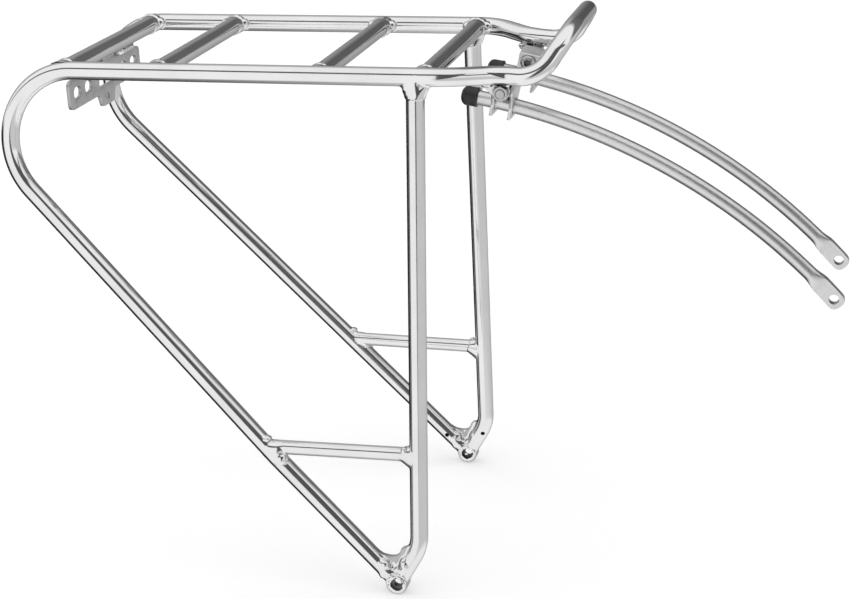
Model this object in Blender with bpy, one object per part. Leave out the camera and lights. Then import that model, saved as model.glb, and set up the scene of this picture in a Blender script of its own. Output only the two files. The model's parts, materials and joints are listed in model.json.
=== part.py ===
"""Bicycle rear rack: bent tube frame on two feet, rear-light plate, and two adjustable front stays in folded clamps.

Metres. +X is forward along the platform, +Y is to the rack's left, +Z is up. The origin is midway between the two feet, on the line through their bolt holes.
"""

import math

import bmesh
import bpy
from mathutils import Matrix, Vector

MM = 0.001

# Frame tube.
TUBE_R = 5.0
TUBE_WALL = 1.0
SIDES = 16
GAP = 0.3

# Platform.
RAIL_Z = 285.3
RAIL_Y = 66.4
TAPER_START_X = 31.3
TAPER_END_X = 56.0
FRONT_RAIL_Y = 48.0
FRONT_RAIL_Z = 282.9
HOOP_FOOT = (77.5, 281.5)
HOOP_TOP_CORNER = (92.2, 33.0, 304.1)
HOOP_SPLIT_X = 25.0
TAPER_BEND_R = 27.0
HOOP_FOOT_BEND_R = 31.0
HOOP_TOP_BEND_R = 24.0
CROSSBAR_X = {
    "rear_crossbar": -183.0,
    "second_crossbar": -129.0,
    "third_crossbar": -37.0,
    "front_crossbar": 20.5,
}

# Rear bend and rear legs: the corner is where the rail's line and the leg's line cross.
REAR_CORNER_X = -270.2
REAR_BEND_R = 40.3
BEND_SPLIT_X = -176.5
KNEE = (-68.6, 85.3, 70.6)
KNEE_BEND_R = 90.0
FOOT_Y = 88.5
LEG_SPLIT_Z = 190.0

# Front legs.
FRONT_LEG_TOP_X = 16.1
FRONT_LEG_KINK = (12.8, 86.6, 22.0)
FRONT_LEG_BEND_R = 28.0

# Side struts.
STRUT_R = 4.0
STRUT_Z = 76.5

# Feet.
BOSS_R = 6.25
BOSS_LENGTH = 8.0
BOSS_HOLE_R = 2.65
OUTER_RECESS = (3.9, 2.0)
INNER_RECESS = (5.1, 4.0)
GUSSET_THICKNESS = 3.0

# The gusset's upper edge, from the horn beside the front leg down to the rear leg.
GUSSET_TOP = [
    (6.4, 22.6),
    (4.2, 22.0),
    (2.6, 20.4),
    (1.8, 18.4),
    (0.6, 16.8),
    (-1.4, 16.0),
    (-4.2, 15.9),
    (-7.6, 16.4),
]

# Rear-light plate.
PLATE_X = -189.3
PLATE_THICKNESS = 2.0
PLATE_HALF_WIDTH = 50.0
PLATE_TOP_Z = 276.0
PLATE_BOTTOM_Z = 257.8
LIGHT_HOLES_Y = (25.0, 40.0)
LIGHT_HOLE_Z = 266.5
LIGHT_HOLE_R = 3.4

# Front stays: each is an arc in a plane of constant y, and its clamp sits at one angle of that arc.
STAY_Y = 32.5
ARC_CENTRE = (-18.5, -67.9)
ARC_R = 340.0
STAY_R = 4.0
STAY_WALL = 1.0
STAY_REAR_DEG = 9.0
CLAMP_DEG = 12.6
PADDLE_START_DEG = 44.3
EYE_DEG = 47.5
STAY_FRONT_DEG = 48.72
EYE_R = 2.75
PADDLE_HALF_WIDTH = 5.6
PADDLE_HALF_THICKNESS = 2.2

# Stay clamp, as a folded sheet round the stay.
SHEET = 1.8
CLAMP_HALF_LENGTH = 5.9
BOLT_RISE = 9.8
BOLT_R = 2.5
LUG_Y = 47.0
LUG_THICKNESS = 2.2

CAP_OUTER_R = 5.4
CAP_LENGTH = 9.5

MATERIALS = {
    "polished_steel": ((0.80, 0.80, 0.79, 1), 0.18, 1.0),
    "satin_steel": ((0.72, 0.72, 0.71, 1), 0.38, 1.0),
    "sheet_steel": ((0.66, 0.66, 0.66, 1), 0.42, 1.0),
    "fastener_steel": ((0.60, 0.60, 0.61, 1), 0.3, 1.0),
    "black_rubber": ((0.02, 0.02, 0.02, 1), 0.6, 0.0),
}


def clear_scene():
    for obj in list(bpy.data.objects):
        bpy.data.objects.remove(obj, do_unlink=True)


def material_for(node, kind):
    colour, roughness, metallic = MATERIALS[kind]
    material = bpy.data.materials.new(node)
    material.use_nodes = True
    shader = material.node_tree.nodes["Principled BSDF"]
    shader.inputs["Base Color"].default_value = colour
    shader.inputs["Roughness"].default_value = roughness
    shader.inputs["Metallic"].default_value = metallic
    return material


def add_object(name, bm, kind=None):
    """Turns the bmesh into an object in metres. With no material kind, it is a hidden cutter."""
    bmesh.ops.recalc_face_normals(bm, faces=bm.faces)
    if bm.calc_volume(signed=True) < 0:
        bmesh.ops.reverse_faces(bm, faces=bm.faces)
    bmesh.ops.scale(bm, vec=(MM, MM, MM), verts=bm.verts)
    mesh = bpy.data.meshes.new(name)
    bm.to_mesh(mesh)
    bm.free()
    obj = bpy.data.objects.new(name, mesh)
    bpy.context.scene.collection.objects.link(obj)
    if kind:
        mesh.materials.append(material_for(name, kind))
    else:
        obj.hide_render = True
        obj.display_type = "WIRE"
    return obj


def cut(obj, *cutters):
    for cutter in cutters:
        modifier = obj.modifiers.new(cutter.name, "BOOLEAN")
        modifier.object = cutter
        modifier.operation = "DIFFERENCE"
        modifier.solver = "EXACT"


def rounded_path(corners, radii, step_deg=14.0):
    """Points along a polyline whose inner corners are replaced by arcs."""
    corners = [Vector(c) for c in corners]
    points = [corners[0]]
    for before, corner, after, radius in zip(corners, corners[1:], corners[2:], radii):
        u = (before - corner).normalized()
        v = (after - corner).normalized()
        turn = math.pi - u.angle(v)
        reach = radius * math.tan(turn / 2)
        centre = corner + (u + v).normalized() * radius / math.cos(turn / 2)
        outward = (corner + u * reach - centre) / radius
        steps = max(2, math.ceil(math.degrees(turn) / step_deg))
        for i in range(steps + 1):
            angle = turn * i / steps
            points.append(
                centre + (outward * math.cos(angle) - u * math.sin(angle)) * radius
            )
    points.append(corners[-1])
    return points


def frames_along(points):
    """A tangent and two normals at each point, carried along without twist."""
    tangents = []
    for i in range(len(points)):
        low, high = max(i - 1, 0), min(i + 1, len(points) - 1)
        into = (points[i] - points[low]).normalized() if i else None
        out = (points[high] - points[i]).normalized() if i < high else None
        tangents.append(((into or out) + (out or into)).normalized())
    side = tangents[0].cross(Vector((0.1, 1, 0.2))).normalized()
    frames = []
    for tangent in tangents:
        side = (side - tangent * side.dot(tangent)).normalized()
        frames.append((tangent, side, tangent.cross(side)))
    return frames


def add_rings(bm, points, radius, sides=SIDES):
    rings = []
    for point, (_, side, other) in zip(points, frames_along(points)):
        ring = []
        for k in range(sides):
            angle = math.tau * k / sides
            ring.append(
                bm.verts.new(
                    point + (side * math.cos(angle) + other * math.sin(angle)) * radius
                )
            )
        rings.append(ring)
    return rings


def join_rings(bm, first, second):
    count = len(first)
    for k in range(count):
        n = (k + 1) % count
        bm.faces.new((first[k], first[n], second[n], second[k]))


def tube_mesh(points, radius, wall=None, sides=SIDES):
    """A round bar along the points, or a tube with open ends if it has a wall."""
    bm = bmesh.new()
    outer = add_rings(bm, points, radius, sides)
    for a, b in zip(outer, outer[1:]):
        join_rings(bm, a, b)
    if wall is None:
        bm.faces.new(outer[0])
        bm.faces.new(outer[-1])
        return bm
    inner = add_rings(bm, points, radius - wall, sides)
    for a, b in zip(inner, inner[1:]):
        join_rings(bm, a, b)
    join_rings(bm, outer[0], inner[0])
    join_rings(bm, outer[-1], inner[-1])
    return bm


def tube(name, points, radius=TUBE_R, wall=TUBE_WALL, kind="polished_steel"):
    return add_object(name, tube_mesh(points, radius, wall), kind)


def rod_cutter(name, start, end, radius, sides=28):
    return add_object(
        name, tube_mesh([Vector(start), Vector(end)], radius, sides=sides)
    )


def plate_mesh(outline, thickness, to_world):
    """A flat plate: outline points in its own plane, thickness either side of the plane's origin along the normal."""
    bm = bmesh.new()
    low = [bm.verts.new(to_world @ Vector((u, v, 0))) for u, v in outline]
    high = [bm.verts.new(to_world @ Vector((u, v, thickness))) for u, v in outline]
    bm.faces.new(low)
    bm.faces.new(high)
    join_rings(bm, low, high)
    return bm


def arc_points(centre, radius, start_deg, end_deg, steps):
    """Points on a circle; angles are measured from +u towards +v."""
    return [
        (
            centre[0]
            + radius * math.cos(math.radians(start_deg + (end_deg - start_deg) * i / steps)),
            centre[1]
            + radius * math.sin(math.radians(start_deg + (end_deg - start_deg) * i / steps)),
        )
        for i in range(steps + 1)
    ]


def rounded_outline(corners, radii, steps=3):
    flat = [Vector((u, v, 0)) for u, v in corners]
    closed = [flat[-1], *flat, flat[0]]
    outline = []
    for before, corner, after, radius in zip(closed, closed[1:], closed[2:], radii):
        if not radius:
            outline.append((corner.x, corner.y))
            continue
        path = rounded_path([before, corner, after], [radius], 90 / steps)[1:-1]
        outline.extend((p.x, p.y) for p in path)
    return outline


def axes(origin, u, v):
    """A matrix that takes plane coordinates (u, v, normal) to the world."""
    u, v = Vector(u).normalized(), Vector(v).normalized()
    matrix = Matrix((u, v, u.cross(v))).transposed().to_4x4()
    matrix.translation = Vector(origin)
    return matrix


# Frame ----------------------------------------------------------------------


def leg_y(z):
    """The legs splay outwards evenly from the rail down to the knee."""
    return RAIL_Y + (KNEE[1] - RAIL_Y) * (RAIL_Z - z) / (RAIL_Z - KNEE[2])


def build_hoop():
    y, z = FRONT_RAIL_Y, FRONT_RAIL_Z
    top_x, top_y, top_z = HOOP_TOP_CORNER
    right = [
        (HOOP_SPLIT_X + GAP / 2, -RAIL_Y, RAIL_Z),
        (TAPER_START_X, -RAIL_Y, RAIL_Z),
        (TAPER_END_X, -y, z),
        (HOOP_FOOT[0], -y, HOOP_FOOT[1]),
        (top_x, -top_y, top_z),
    ]
    left = [(px, -py, pz) for px, py, pz in reversed(right)]
    bends = [TAPER_BEND_R * 0.6, TAPER_BEND_R, HOOP_FOOT_BEND_R, HOOP_TOP_BEND_R]
    return tube("front_hoop", rounded_path(right + left, bends + bends[::-1]))


def build_side_tubes(side, word):
    y = side * RAIL_Y
    corner = Vector((REAR_CORNER_X, y, RAIL_Z))
    knee = Vector((KNEE[0], side * KNEE[1], KNEE[2]))
    foot = Vector((0, side * FOOT_Y, 0))
    down = (knee - corner).normalized()
    split = corner + down * ((RAIL_Z - LEG_SPLIT_Z) / -down.z)
    tube(
        f"{word}_rail",
        [
            Vector((BEND_SPLIT_X + GAP / 2, y, RAIL_Z)),
            Vector((HOOP_SPLIT_X - GAP / 2, y, RAIL_Z)),
        ],
    )
    tube(
        f"{word}_rear_bend",
        rounded_path(
            [
                (BEND_SPLIT_X - GAP / 2, y, RAIL_Z),
                corner,
                split - down * GAP / 2,
            ],
            [REAR_BEND_R],
        ),
    )
    leg = tube(
        f"{word}_rear_leg",
        rounded_path([split + down * GAP / 2, knee, foot], [KNEE_BEND_R], 3),
    )
    cut(leg, bpy.data.objects[f"{word}_boss_cutter"])


def build_crossbar(name, x):
    bar = tube(name, [Vector((x, -RAIL_Y, RAIL_Z)), Vector((x, RAIL_Y, RAIL_Z))])
    cut(bar, bpy.data.objects["right_rail_cutter"], bpy.data.objects["left_rail_cutter"])
    if x < BEND_SPLIT_X:
        cut(
            bar,
            bpy.data.objects["right_bend_cutter"],
            bpy.data.objects["left_bend_cutter"],
        )
    if abs(x - FRONT_LEG_TOP_X) < 2 * TUBE_R:
        cut(
            bar,
            bpy.data.objects["right_front_leg_cutter"],
            bpy.data.objects["left_front_leg_cutter"],
        )


def build_front_leg(side, word):
    kink = Vector((FRONT_LEG_KINK[0], side * FRONT_LEG_KINK[1], FRONT_LEG_KINK[2]))
    leg = tube(
        f"{word}_front_leg",
        rounded_path(
            [
                (FRONT_LEG_TOP_X, side * RAIL_Y, RAIL_Z),
                kink,
                (0, side * FOOT_Y, 0),
            ],
            [FRONT_LEG_BEND_R],
        ),
    )
    cut(
        leg,
        bpy.data.objects[f"{word}_rail_cutter"],
        bpy.data.objects[f"{word}_boss_cutter"],
        bpy.data.objects[f"{word}_lower_leg_cutter"],
    )


def build_strut(side, word):
    y = side * leg_y(STRUT_Z)
    front_y = side * (
        RAIL_Y
        + (FRONT_LEG_KINK[1] - RAIL_Y)
        * (RAIL_Z - STRUT_Z)
        / (RAIL_Z - FRONT_LEG_KINK[2])
    )
    strut = tube(
        f"{word}_side_strut",
        [Vector((-73, y, STRUT_Z)), Vector((13.6, front_y, STRUT_Z))],
        STRUT_R,
    )
    cut(
        strut,
        bpy.data.objects[f"{word}_upper_leg_cutter"],
        bpy.data.objects[f"{word}_lower_leg_cutter"],
        bpy.data.objects[f"{word}_front_leg_cutter"],
    )


def build_cutters(side, word):
    """Solid bars a little larger than the tubes, which shape the ends that meet them."""
    y = side * RAIL_Y
    clear = TUBE_R + GAP
    rod_cutter(f"{word}_rail_cutter", (-200, y, RAIL_Z), (60, y, RAIL_Z), clear)
    bend = rounded_path(
        [
            (BEND_SPLIT_X + 5, y, RAIL_Z),
            (REAR_CORNER_X, y, RAIL_Z),
            (KNEE[0], side * KNEE[1], KNEE[2]),
        ],
        [REAR_BEND_R],
        5,
    )
    add_object(f"{word}_bend_cutter", tube_mesh(bend, clear, sides=28))
    outer, inner = side * (FOOT_Y + 12), side * (FOOT_Y - 12)
    rod_cutter(f"{word}_boss_cutter", (0, outer, 0), (0, inner, 0), BOSS_R + GAP)
    knee = Vector((KNEE[0], side * KNEE[1], KNEE[2]))
    corner = Vector((REAR_CORNER_X, y, RAIL_Z))
    foot = Vector((0, side * FOOT_Y, 0))
    up = (corner - knee).normalized()
    rod_cutter(f"{word}_upper_leg_cutter", knee - up * 12, knee + up * 60, clear)
    back = (knee - foot).normalized()
    rod_cutter(f"{word}_lower_leg_cutter", foot, knee + back * 8, clear)
    top = Vector((FRONT_LEG_TOP_X, y, RAIL_Z))
    kink = Vector((FRONT_LEG_KINK[0], side * FRONT_LEG_KINK[1], FRONT_LEG_KINK[2]))
    rod_cutter(f"{word}_front_leg_cutter", top, kink, clear)


def build_boss(side, word):
    outer = side * (FOOT_Y + BOSS_LENGTH / 2)
    inner = side * (FOOT_Y - BOSS_LENGTH / 2)
    bm = tube_mesh([Vector((0, outer, 0)), Vector((0, inner, 0))], BOSS_R, sides=32)
    boss = add_object(f"{word}_foot_boss", bm, "polished_steel")
    hole = rod_cutter(
        f"{word}_boss_hole", (0, outer + side * 2, 0), (0, inner - side * 2, 0), BOSS_HOLE_R
    )
    outer_recess = rod_cutter(
        f"{word}_boss_outer_recess",
        (0, outer + side * 2, 0),
        (0, outer - side * OUTER_RECESS[1], 0),
        OUTER_RECESS[0],
    )
    inner_recess = rod_cutter(
        f"{word}_boss_inner_recess",
        (0, inner - side * 2, 0),
        (0, inner + side * INNER_RECESS[1], 0),
        INNER_RECESS[0],
    )
    cut(boss, hole, outer_recess, inner_recess)


def build_gusset(side, word):
    """The small web plate in the V between the two legs, with a round horn at the front leg."""
    outline = [(-0.9, 7.2), (6.0, 15.0), (9.5, 22.0)]
    outline += GUSSET_TOP
    outline += [(-11.0, 17.8)]
    y = side * (FOOT_Y - 0.4) + GUSSET_THICKNESS / 2
    bm = plate_mesh(
        outline, GUSSET_THICKNESS, axes((0, y, 0), (1, 0, 0), (0, 0, 1))
    )
    gusset = add_object(f"{word}_foot_gusset", bm, "polished_steel")
    kink = Vector((FRONT_LEG_KINK[0], side * FRONT_LEG_KINK[1], FRONT_LEG_KINK[2]))
    path = rounded_path(
        [(FRONT_LEG_TOP_X, side * RAIL_Y, RAIL_Z), kink, (0, side * FOOT_Y, 0)],
        [FRONT_LEG_BEND_R],
    )
    swept = add_object(
        f"{word}_front_leg_swept", tube_mesh(path, TUBE_R + GAP, sides=28)
    )
    cut(
        gusset,
        bpy.data.objects[f"{word}_lower_leg_cutter"],
        swept,
        bpy.data.objects[f"{word}_boss_cutter"],
    )


# Rear-light plate -------------------------------------------------------------


def build_rear_light_plate():
    w, top, low = PLATE_HALF_WIDTH, PLATE_TOP_Z, PLATE_BOTTOM_Z
    corners = [
        (-w, top - 2),
        (-30, top),
        (-30, top + 3.6),
        (-14, top + 3.6),
        (-14, top),
        (14, top),
        (14, top + 3.6),
        (30, top + 3.6),
        (30, top),
        (w, top - 2),
        (w, low),
        (11, low),
        (8, low - 7.6),
        (-8, low - 7.6),
        (-11, low),
        (-w, low),
    ]
    radii = [3, 2, 1.2, 1.2, 2, 2, 1.2, 1.2, 2, 3, 4, 2.5, 3, 3, 2.5, 4]
    bm = plate_mesh(
        rounded_outline(corners, radii),
        PLATE_THICKNESS,
        axes((PLATE_X - PLATE_THICKNESS / 2, 0, 0), (0, 1, 0), (0, 0, 1)),
    )
    plate = add_object("rear_light_plate", bm, "sheet_steel")
    cutters = []
    x0, x1 = PLATE_X - 4, PLATE_X + 4
    for y in LIGHT_HOLES_Y:
        for side, word in ((-1, "right"), (1, "left")):
            cutters.append(
                rod_cutter(
                    f"light_hole_{word}_{y:.0f}",
                    (x0, side * y, LIGHT_HOLE_Z),
                    (x1, side * y, LIGHT_HOLE_Z),
                    LIGHT_HOLE_R,
                    20,
                )
            )
    cutters.append(
        rod_cutter("tab_hole", (x0, 0, low - 2.6), (x1, 0, low - 2.6), 1.6, 16)
    )
    window = rounded_outline(
        [(-10.5, 262), (10.5, 262), (10.5, 271), (-10.5, 271)], [1.5] * 4
    )
    cutters.append(
        add_object(
            "window_cutter", plate_mesh(window, 8, axes((x0, 0, 0), (0, 1, 0), (0, 0, 1)))
        )
    )
    cut(plate, *cutters)


# Front stays and their clamps --------------------------------------------------


def on_arc(degrees, side, rise=0.0, lateral=0.0):
    """A point at an angle of the stay's arc, raised along the arc's radius."""
    angle = math.radians(degrees)
    reach = ARC_R + rise
    return Vector(
        (
            ARC_CENTRE[0] + reach * math.sin(angle),
            side * (STAY_Y + lateral),
            ARC_CENTRE[1] + reach * math.cos(angle),
        )
    )


def clamp_axes(side):
    """Plane across the stay at its clamp: u points to the rack's middle, v away from the arc's centre."""
    angle = math.radians(CLAMP_DEG)
    return on_arc(CLAMP_DEG, side), Vector((math.sin(angle), 0, math.cos(angle)))


def add_stay_rings(bm, angles, side, half_width, half_thickness, sides):
    rings = []
    for degrees in angles:
        width, thickness = half_width(degrees), half_thickness(degrees)
        centre = on_arc(degrees, side)
        outward = (on_arc(degrees, side, 1) - centre).normalized()
        flatness = min(1, (1 - thickness / width) / 0.55)
        ring = []
        for k in range(sides):
            c, s = math.cos(math.tau * k / sides), math.sin(math.tau * k / sides)
            # Half way to a square, the flat sides stay flat and only the corners are round.
            boxed = max(abs(c), abs(s)) ** -0.75
            u = (c + (max(-1, min(1, 1.9 * c)) - c) * flatness) * thickness
            v = (s + (s * boxed - s) * flatness) * width
            ring.append(bm.verts.new(centre + Vector((0, u, 0)) + outward * v))
        rings.append(ring)
    return rings


def build_stay(side, word):
    def flat(degrees):
        t = (degrees - PADDLE_START_DEG) / 1.7
        t = min(max(t, 0), 1)
        return t * t * (3 - 2 * t)

    def half_width(degrees):
        width = STAY_R + (PADDLE_HALF_WIDTH - STAY_R) * flat(degrees)
        left = STAY_FRONT_DEG - degrees
        return width - 1.5 * max(0, 1 - left / 0.3) ** 2

    def half_thickness(degrees):
        return STAY_R + (PADDLE_HALF_THICKNESS - STAY_R) * flat(degrees)

    steps = 12
    span = PADDLE_START_DEG - STAY_REAR_DEG
    angles = [STAY_REAR_DEG + span * i / steps for i in range(steps + 1)]
    bored = list(angles)
    angles += [44.8, 45.3, 45.8, 46.2, 48.42, 48.6, STAY_FRONT_DEG]
    bm = bmesh.new()
    outer = add_stay_rings(bm, angles, side, half_width, half_thickness, SIDES)
    inner = add_stay_rings(
        bm, bored, side, lambda d: STAY_R - STAY_WALL, lambda d: STAY_R - STAY_WALL, SIDES
    )
    for rings in (outer, inner):
        for a, b in zip(rings, rings[1:]):
            join_rings(bm, a, b)
    join_rings(bm, outer[0], inner[0])
    bm.faces.new(inner[-1])
    bm.faces.new(outer[-1])
    stay = add_object(f"{word}_stay", bm, "satin_steel")
    eye = on_arc(EYE_DEG, side)
    cut(
        stay,
        rod_cutter(
            f"{word}_eye_cutter", eye - Vector((0, 8, 0)), eye + Vector((0, 8, 0)), EYE_R
        ),
    )


def build_end_cap(side, word):
    """A domed cup pushed over the stay's rear end."""
    angle = math.radians(STAY_REAR_DEG)
    rear = on_arc(STAY_REAR_DEG, side)
    along = Vector((math.cos(angle), 0, -math.sin(angle)))
    profile = [(CAP_LENGTH - 2.2, STAY_R + 0.25), (CAP_LENGTH - 2.2, CAP_OUTER_R - 0.3)]
    profile += [(CAP_LENGTH - 2.5, CAP_OUTER_R), (1.5, CAP_OUTER_R)]
    profile += [
        (1.5 - 3.7 * math.sin(math.radians(a)), CAP_OUTER_R * math.cos(math.radians(a)) ** 0.8)
        for a in (20, 40, 58, 74)
    ]
    inner = [(-GAP, STAY_R + 0.25)]
    bm = bmesh.new()
    points = profile + [(-2.2, 0)]
    rings = []
    across = Vector((0, 1, 0))
    upward = along.cross(across)
    for distance, radius in profile:
        rings.append(
            [
                bm.verts.new(
                    rear
                    + along * distance
                    + (across * math.cos(math.tau * k / 20) + upward * math.sin(math.tau * k / 20))
                    * radius
                )
                for k in range(20)
            ]
        )
    for a, b in zip(rings, rings[1:]):
        join_rings(bm, a, b)
    tip = bm.verts.new(rear + along * points[-1][0])
    for k in range(20):
        bm.faces.new((rings[-1][k], rings[-1][(k + 1) % 20], tip))
    floor = [
        bm.verts.new(
            rear
            + along * inner[0][0]
            + (across * math.cos(math.tau * k / 20) + upward * math.sin(math.tau * k / 20))
            * inner[0][1]
        )
        for k in range(20)
    ]
    join_rings(bm, floor, rings[0])
    bm.faces.new(floor)
    add_object(f"{word}_end_cap", bm, "black_rubber")


def ear_outline():
    """One wall of the clamp, in the plane across the stay: u towards the rack's middle, v up."""
    corners = [
        (8.3, 14.6),
        (-8.2, 15.2),
        (-14.0, 10.6),
        (-14.0, 8.6),
        (-9.6, 4.2),
        (-6.9, -0.4),
        (-6.7, -2.6),
        (-7.0, -5.4),
        (-6.4, -6.8),
        (7.9, -7.2),
        (8.8, -5.8),
        (7.3, -3.0),
        (7.1, 0.6),
        (8.3, 6.0),
    ]
    radii = [1.2, 1.6, 0.6, 1.2, 2.0, 1.2, 1.2, 0.5, 0.5, 0.5, 0.5, 2.0, 1.2, 2.0]
    return rounded_outline(corners, radii, 2)


def build_clamp(side, word):
    """Two walls across the stay, an inner web and a roof, all folded from one sheet."""
    centre, rise = clamp_axes(side)
    inward = Vector((0, -side, 0))
    along = inward.cross(rise)
    half = CLAMP_HALF_LENGTH
    block = plate_mesh(
        ear_outline(), 2 * half, axes(centre - along * half, inward, rise)
    )
    clamp = add_object(f"{word}_stay_clamp", block, "sheet_steel")
    channel = [
        (8.3 - SHEET, 14.6 - SHEET),
        (-8.0, 15.2 - SHEET),
        (-20, 15.2 - SHEET),
        (-20, -12),
        (14, -12),
        (14, 5.4),
        (8.3 - SHEET, 5.4),
    ]
    inner = half - SHEET
    hollow = add_object(
        f"{word}_clamp_channel",
        plate_mesh(channel, 2 * inner, axes(centre - along * inner, inward, rise)),
    )
    stay_hole = rod_cutter(
        f"{word}_clamp_stay_hole",
        centre - along * (half + 3),
        centre + along * (half + 3),
        STAY_R + 0.35,
    )
    bolt_line = centre + rise * BOLT_RISE
    bolt_hole = rod_cutter(
        f"{word}_clamp_bolt_hole", bolt_line + inward * 4, bolt_line + inward * 14, BOLT_R + 0.3
    )
    cut(clamp, hollow, stay_hole, bolt_hole)


def build_lug(side, word):
    """The triangular tab under the rail that the clamp's bolt goes through."""
    centre, rise = clamp_axes(side)
    bolt = centre + rise * BOLT_RISE
    tip = 4.3
    top = FRONT_RAIL_Z - TUBE_R - GAP - 0.1
    outline = [(bolt.x + tip, top), (bolt.x - 9.6, top), (bolt.x - 9.6, top - 0.8)]
    outline += arc_points((bolt.x, bolt.z), tip, -142, 0, 9)
    y = side * (LUG_Y + LUG_THICKNESS / 2) + LUG_THICKNESS / 2
    lug = add_object(
        f"{word}_stay_lug",
        plate_mesh(outline, LUG_THICKNESS, axes((0, y, 0), (1, 0, 0), (0, 0, 1))),
        "sheet_steel",
    )
    cut(
        lug,
        rod_cutter(
            f"{word}_lug_hole",
            (bolt.x, side * (LUG_Y - 4), bolt.z),
            (bolt.x, side * (LUG_Y + 6), bolt.z),
            BOLT_R + 0.3,
        ),
    )


def build_bolt(side, word):
    """A round-headed socket bolt from the clamp's web out to the lug, and a nut outside the lug."""
    centre, rise = clamp_axes(side)
    inward = Vector((0, -side, 0))
    line = centre + rise * BOLT_RISE
    face = 8.3 + GAP
    far = (LUG_Y + LUG_THICKNESS + 3.9 - STAY_Y) * -1
    profile = [
        (far, BOLT_R - 0.4),
        (far + 0.4, BOLT_R),
        (face, BOLT_R),
        (face, 4.2),
        (face + 1.2, 4.2),
        (face + 2.4, 3.3),
        (face + 2.8, 2.2),
    ]
    bm = bmesh.new()
    rings = [
        [
            bm.verts.new(
                line
                + inward * distance
                + (Vector((1, 0, 0)) * math.cos(math.tau * k / 18) + Vector((0, 0, 1)) * math.sin(math.tau * k / 18))
                * radius
            )
            for k in range(18)
        ]
        for distance, radius in profile
    ]
    for a, b in zip(rings, rings[1:]):
        join_rings(bm, a, b)
    bm.faces.new(rings[0])
    bm.faces.new(rings[-1])
    bolt = add_object(f"{word}_clamp_bolt", bm, "fastener_steel")
    socket = add_object(
        f"{word}_bolt_socket",
        tube_mesh(
            [line + inward * (face + 1.0), line + inward * (face + 5)], 1.7, sides=6
        ),
    )
    cut(bolt, socket)
    start = LUG_Y + LUG_THICKNESS + GAP
    nut = add_object(
        f"{word}_clamp_nut",
        tube_mesh(
            [
                Vector((line.x, side * start, line.z)),
                Vector((line.x, side * (start + 2.6), line.z)),
            ],
            4.3,
            sides=6,
        ),
        "fastener_steel",
    )
    cut(
        nut,
        rod_cutter(
            f"{word}_nut_hole",
            (line.x, side * (start - 2), line.z),
            (line.x, side * (start + 5), line.z),
            BOLT_R + 0.25,
            20,
        ),
    )


def main():
    clear_scene()
    build_hoop()
    for side, word in ((-1, "right"), (1, "left")):
        build_cutters(side, word)
        build_side_tubes(side, word)
        build_front_leg(side, word)
        build_strut(side, word)
        build_boss(side, word)
        build_gusset(side, word)
        build_stay(side, word)
        build_end_cap(side, word)
        build_clamp(side, word)
        build_lug(side, word)
        build_bolt(side, word)
    for name, x in CROSSBAR_X.items():
        build_crossbar(name, x)
    build_rear_light_plate()


main()
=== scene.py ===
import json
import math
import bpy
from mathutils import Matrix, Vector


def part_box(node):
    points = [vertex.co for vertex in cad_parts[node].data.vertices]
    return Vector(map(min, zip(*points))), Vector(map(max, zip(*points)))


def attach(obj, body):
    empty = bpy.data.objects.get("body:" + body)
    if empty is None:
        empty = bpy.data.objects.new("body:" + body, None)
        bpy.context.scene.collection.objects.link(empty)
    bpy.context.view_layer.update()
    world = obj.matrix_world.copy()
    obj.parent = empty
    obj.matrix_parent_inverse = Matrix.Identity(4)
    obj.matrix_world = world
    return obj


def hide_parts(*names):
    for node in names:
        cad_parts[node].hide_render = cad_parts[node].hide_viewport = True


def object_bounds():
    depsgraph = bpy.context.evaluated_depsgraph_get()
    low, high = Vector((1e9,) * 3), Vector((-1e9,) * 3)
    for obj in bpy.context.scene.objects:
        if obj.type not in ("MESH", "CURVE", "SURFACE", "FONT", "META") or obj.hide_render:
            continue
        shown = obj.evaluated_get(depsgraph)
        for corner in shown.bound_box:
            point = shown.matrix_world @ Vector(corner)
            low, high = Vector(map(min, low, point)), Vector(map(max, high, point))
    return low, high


bl_info = {
    "name": "Bicycle Rear Rack",
    "version": (1, 0, 0),
    "blender": (4, 5, 0),
    "location": "3D View > Sidebar > Rack",
    "description": "Builds the welded tube frame, light plate, clamps, stays and studio of a rear rack",
    "category": "Add Mesh",
}

import bmesh
import bpy
import numpy as np
from mathutils import Matrix, Vector

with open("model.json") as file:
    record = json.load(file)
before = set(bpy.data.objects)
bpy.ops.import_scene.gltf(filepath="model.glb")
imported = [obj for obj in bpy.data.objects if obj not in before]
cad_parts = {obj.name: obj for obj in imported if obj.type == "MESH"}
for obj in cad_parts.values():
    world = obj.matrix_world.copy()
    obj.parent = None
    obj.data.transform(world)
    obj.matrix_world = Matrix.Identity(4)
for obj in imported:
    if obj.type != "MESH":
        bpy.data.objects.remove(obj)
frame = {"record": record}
CAD_BOX = [list(corner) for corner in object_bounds()]

MM = 0.001
SIDES = (("right", -1), ("left", 1))
BODIES = frame["record"]["behaviour"]["bodies"]
BODY_OF = {node: body for body, nodes in BODIES.items() for node in nodes}


def cad_centre_mm(node):
    low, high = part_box(node)
    return (low + high) / (2 * MM)


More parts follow.
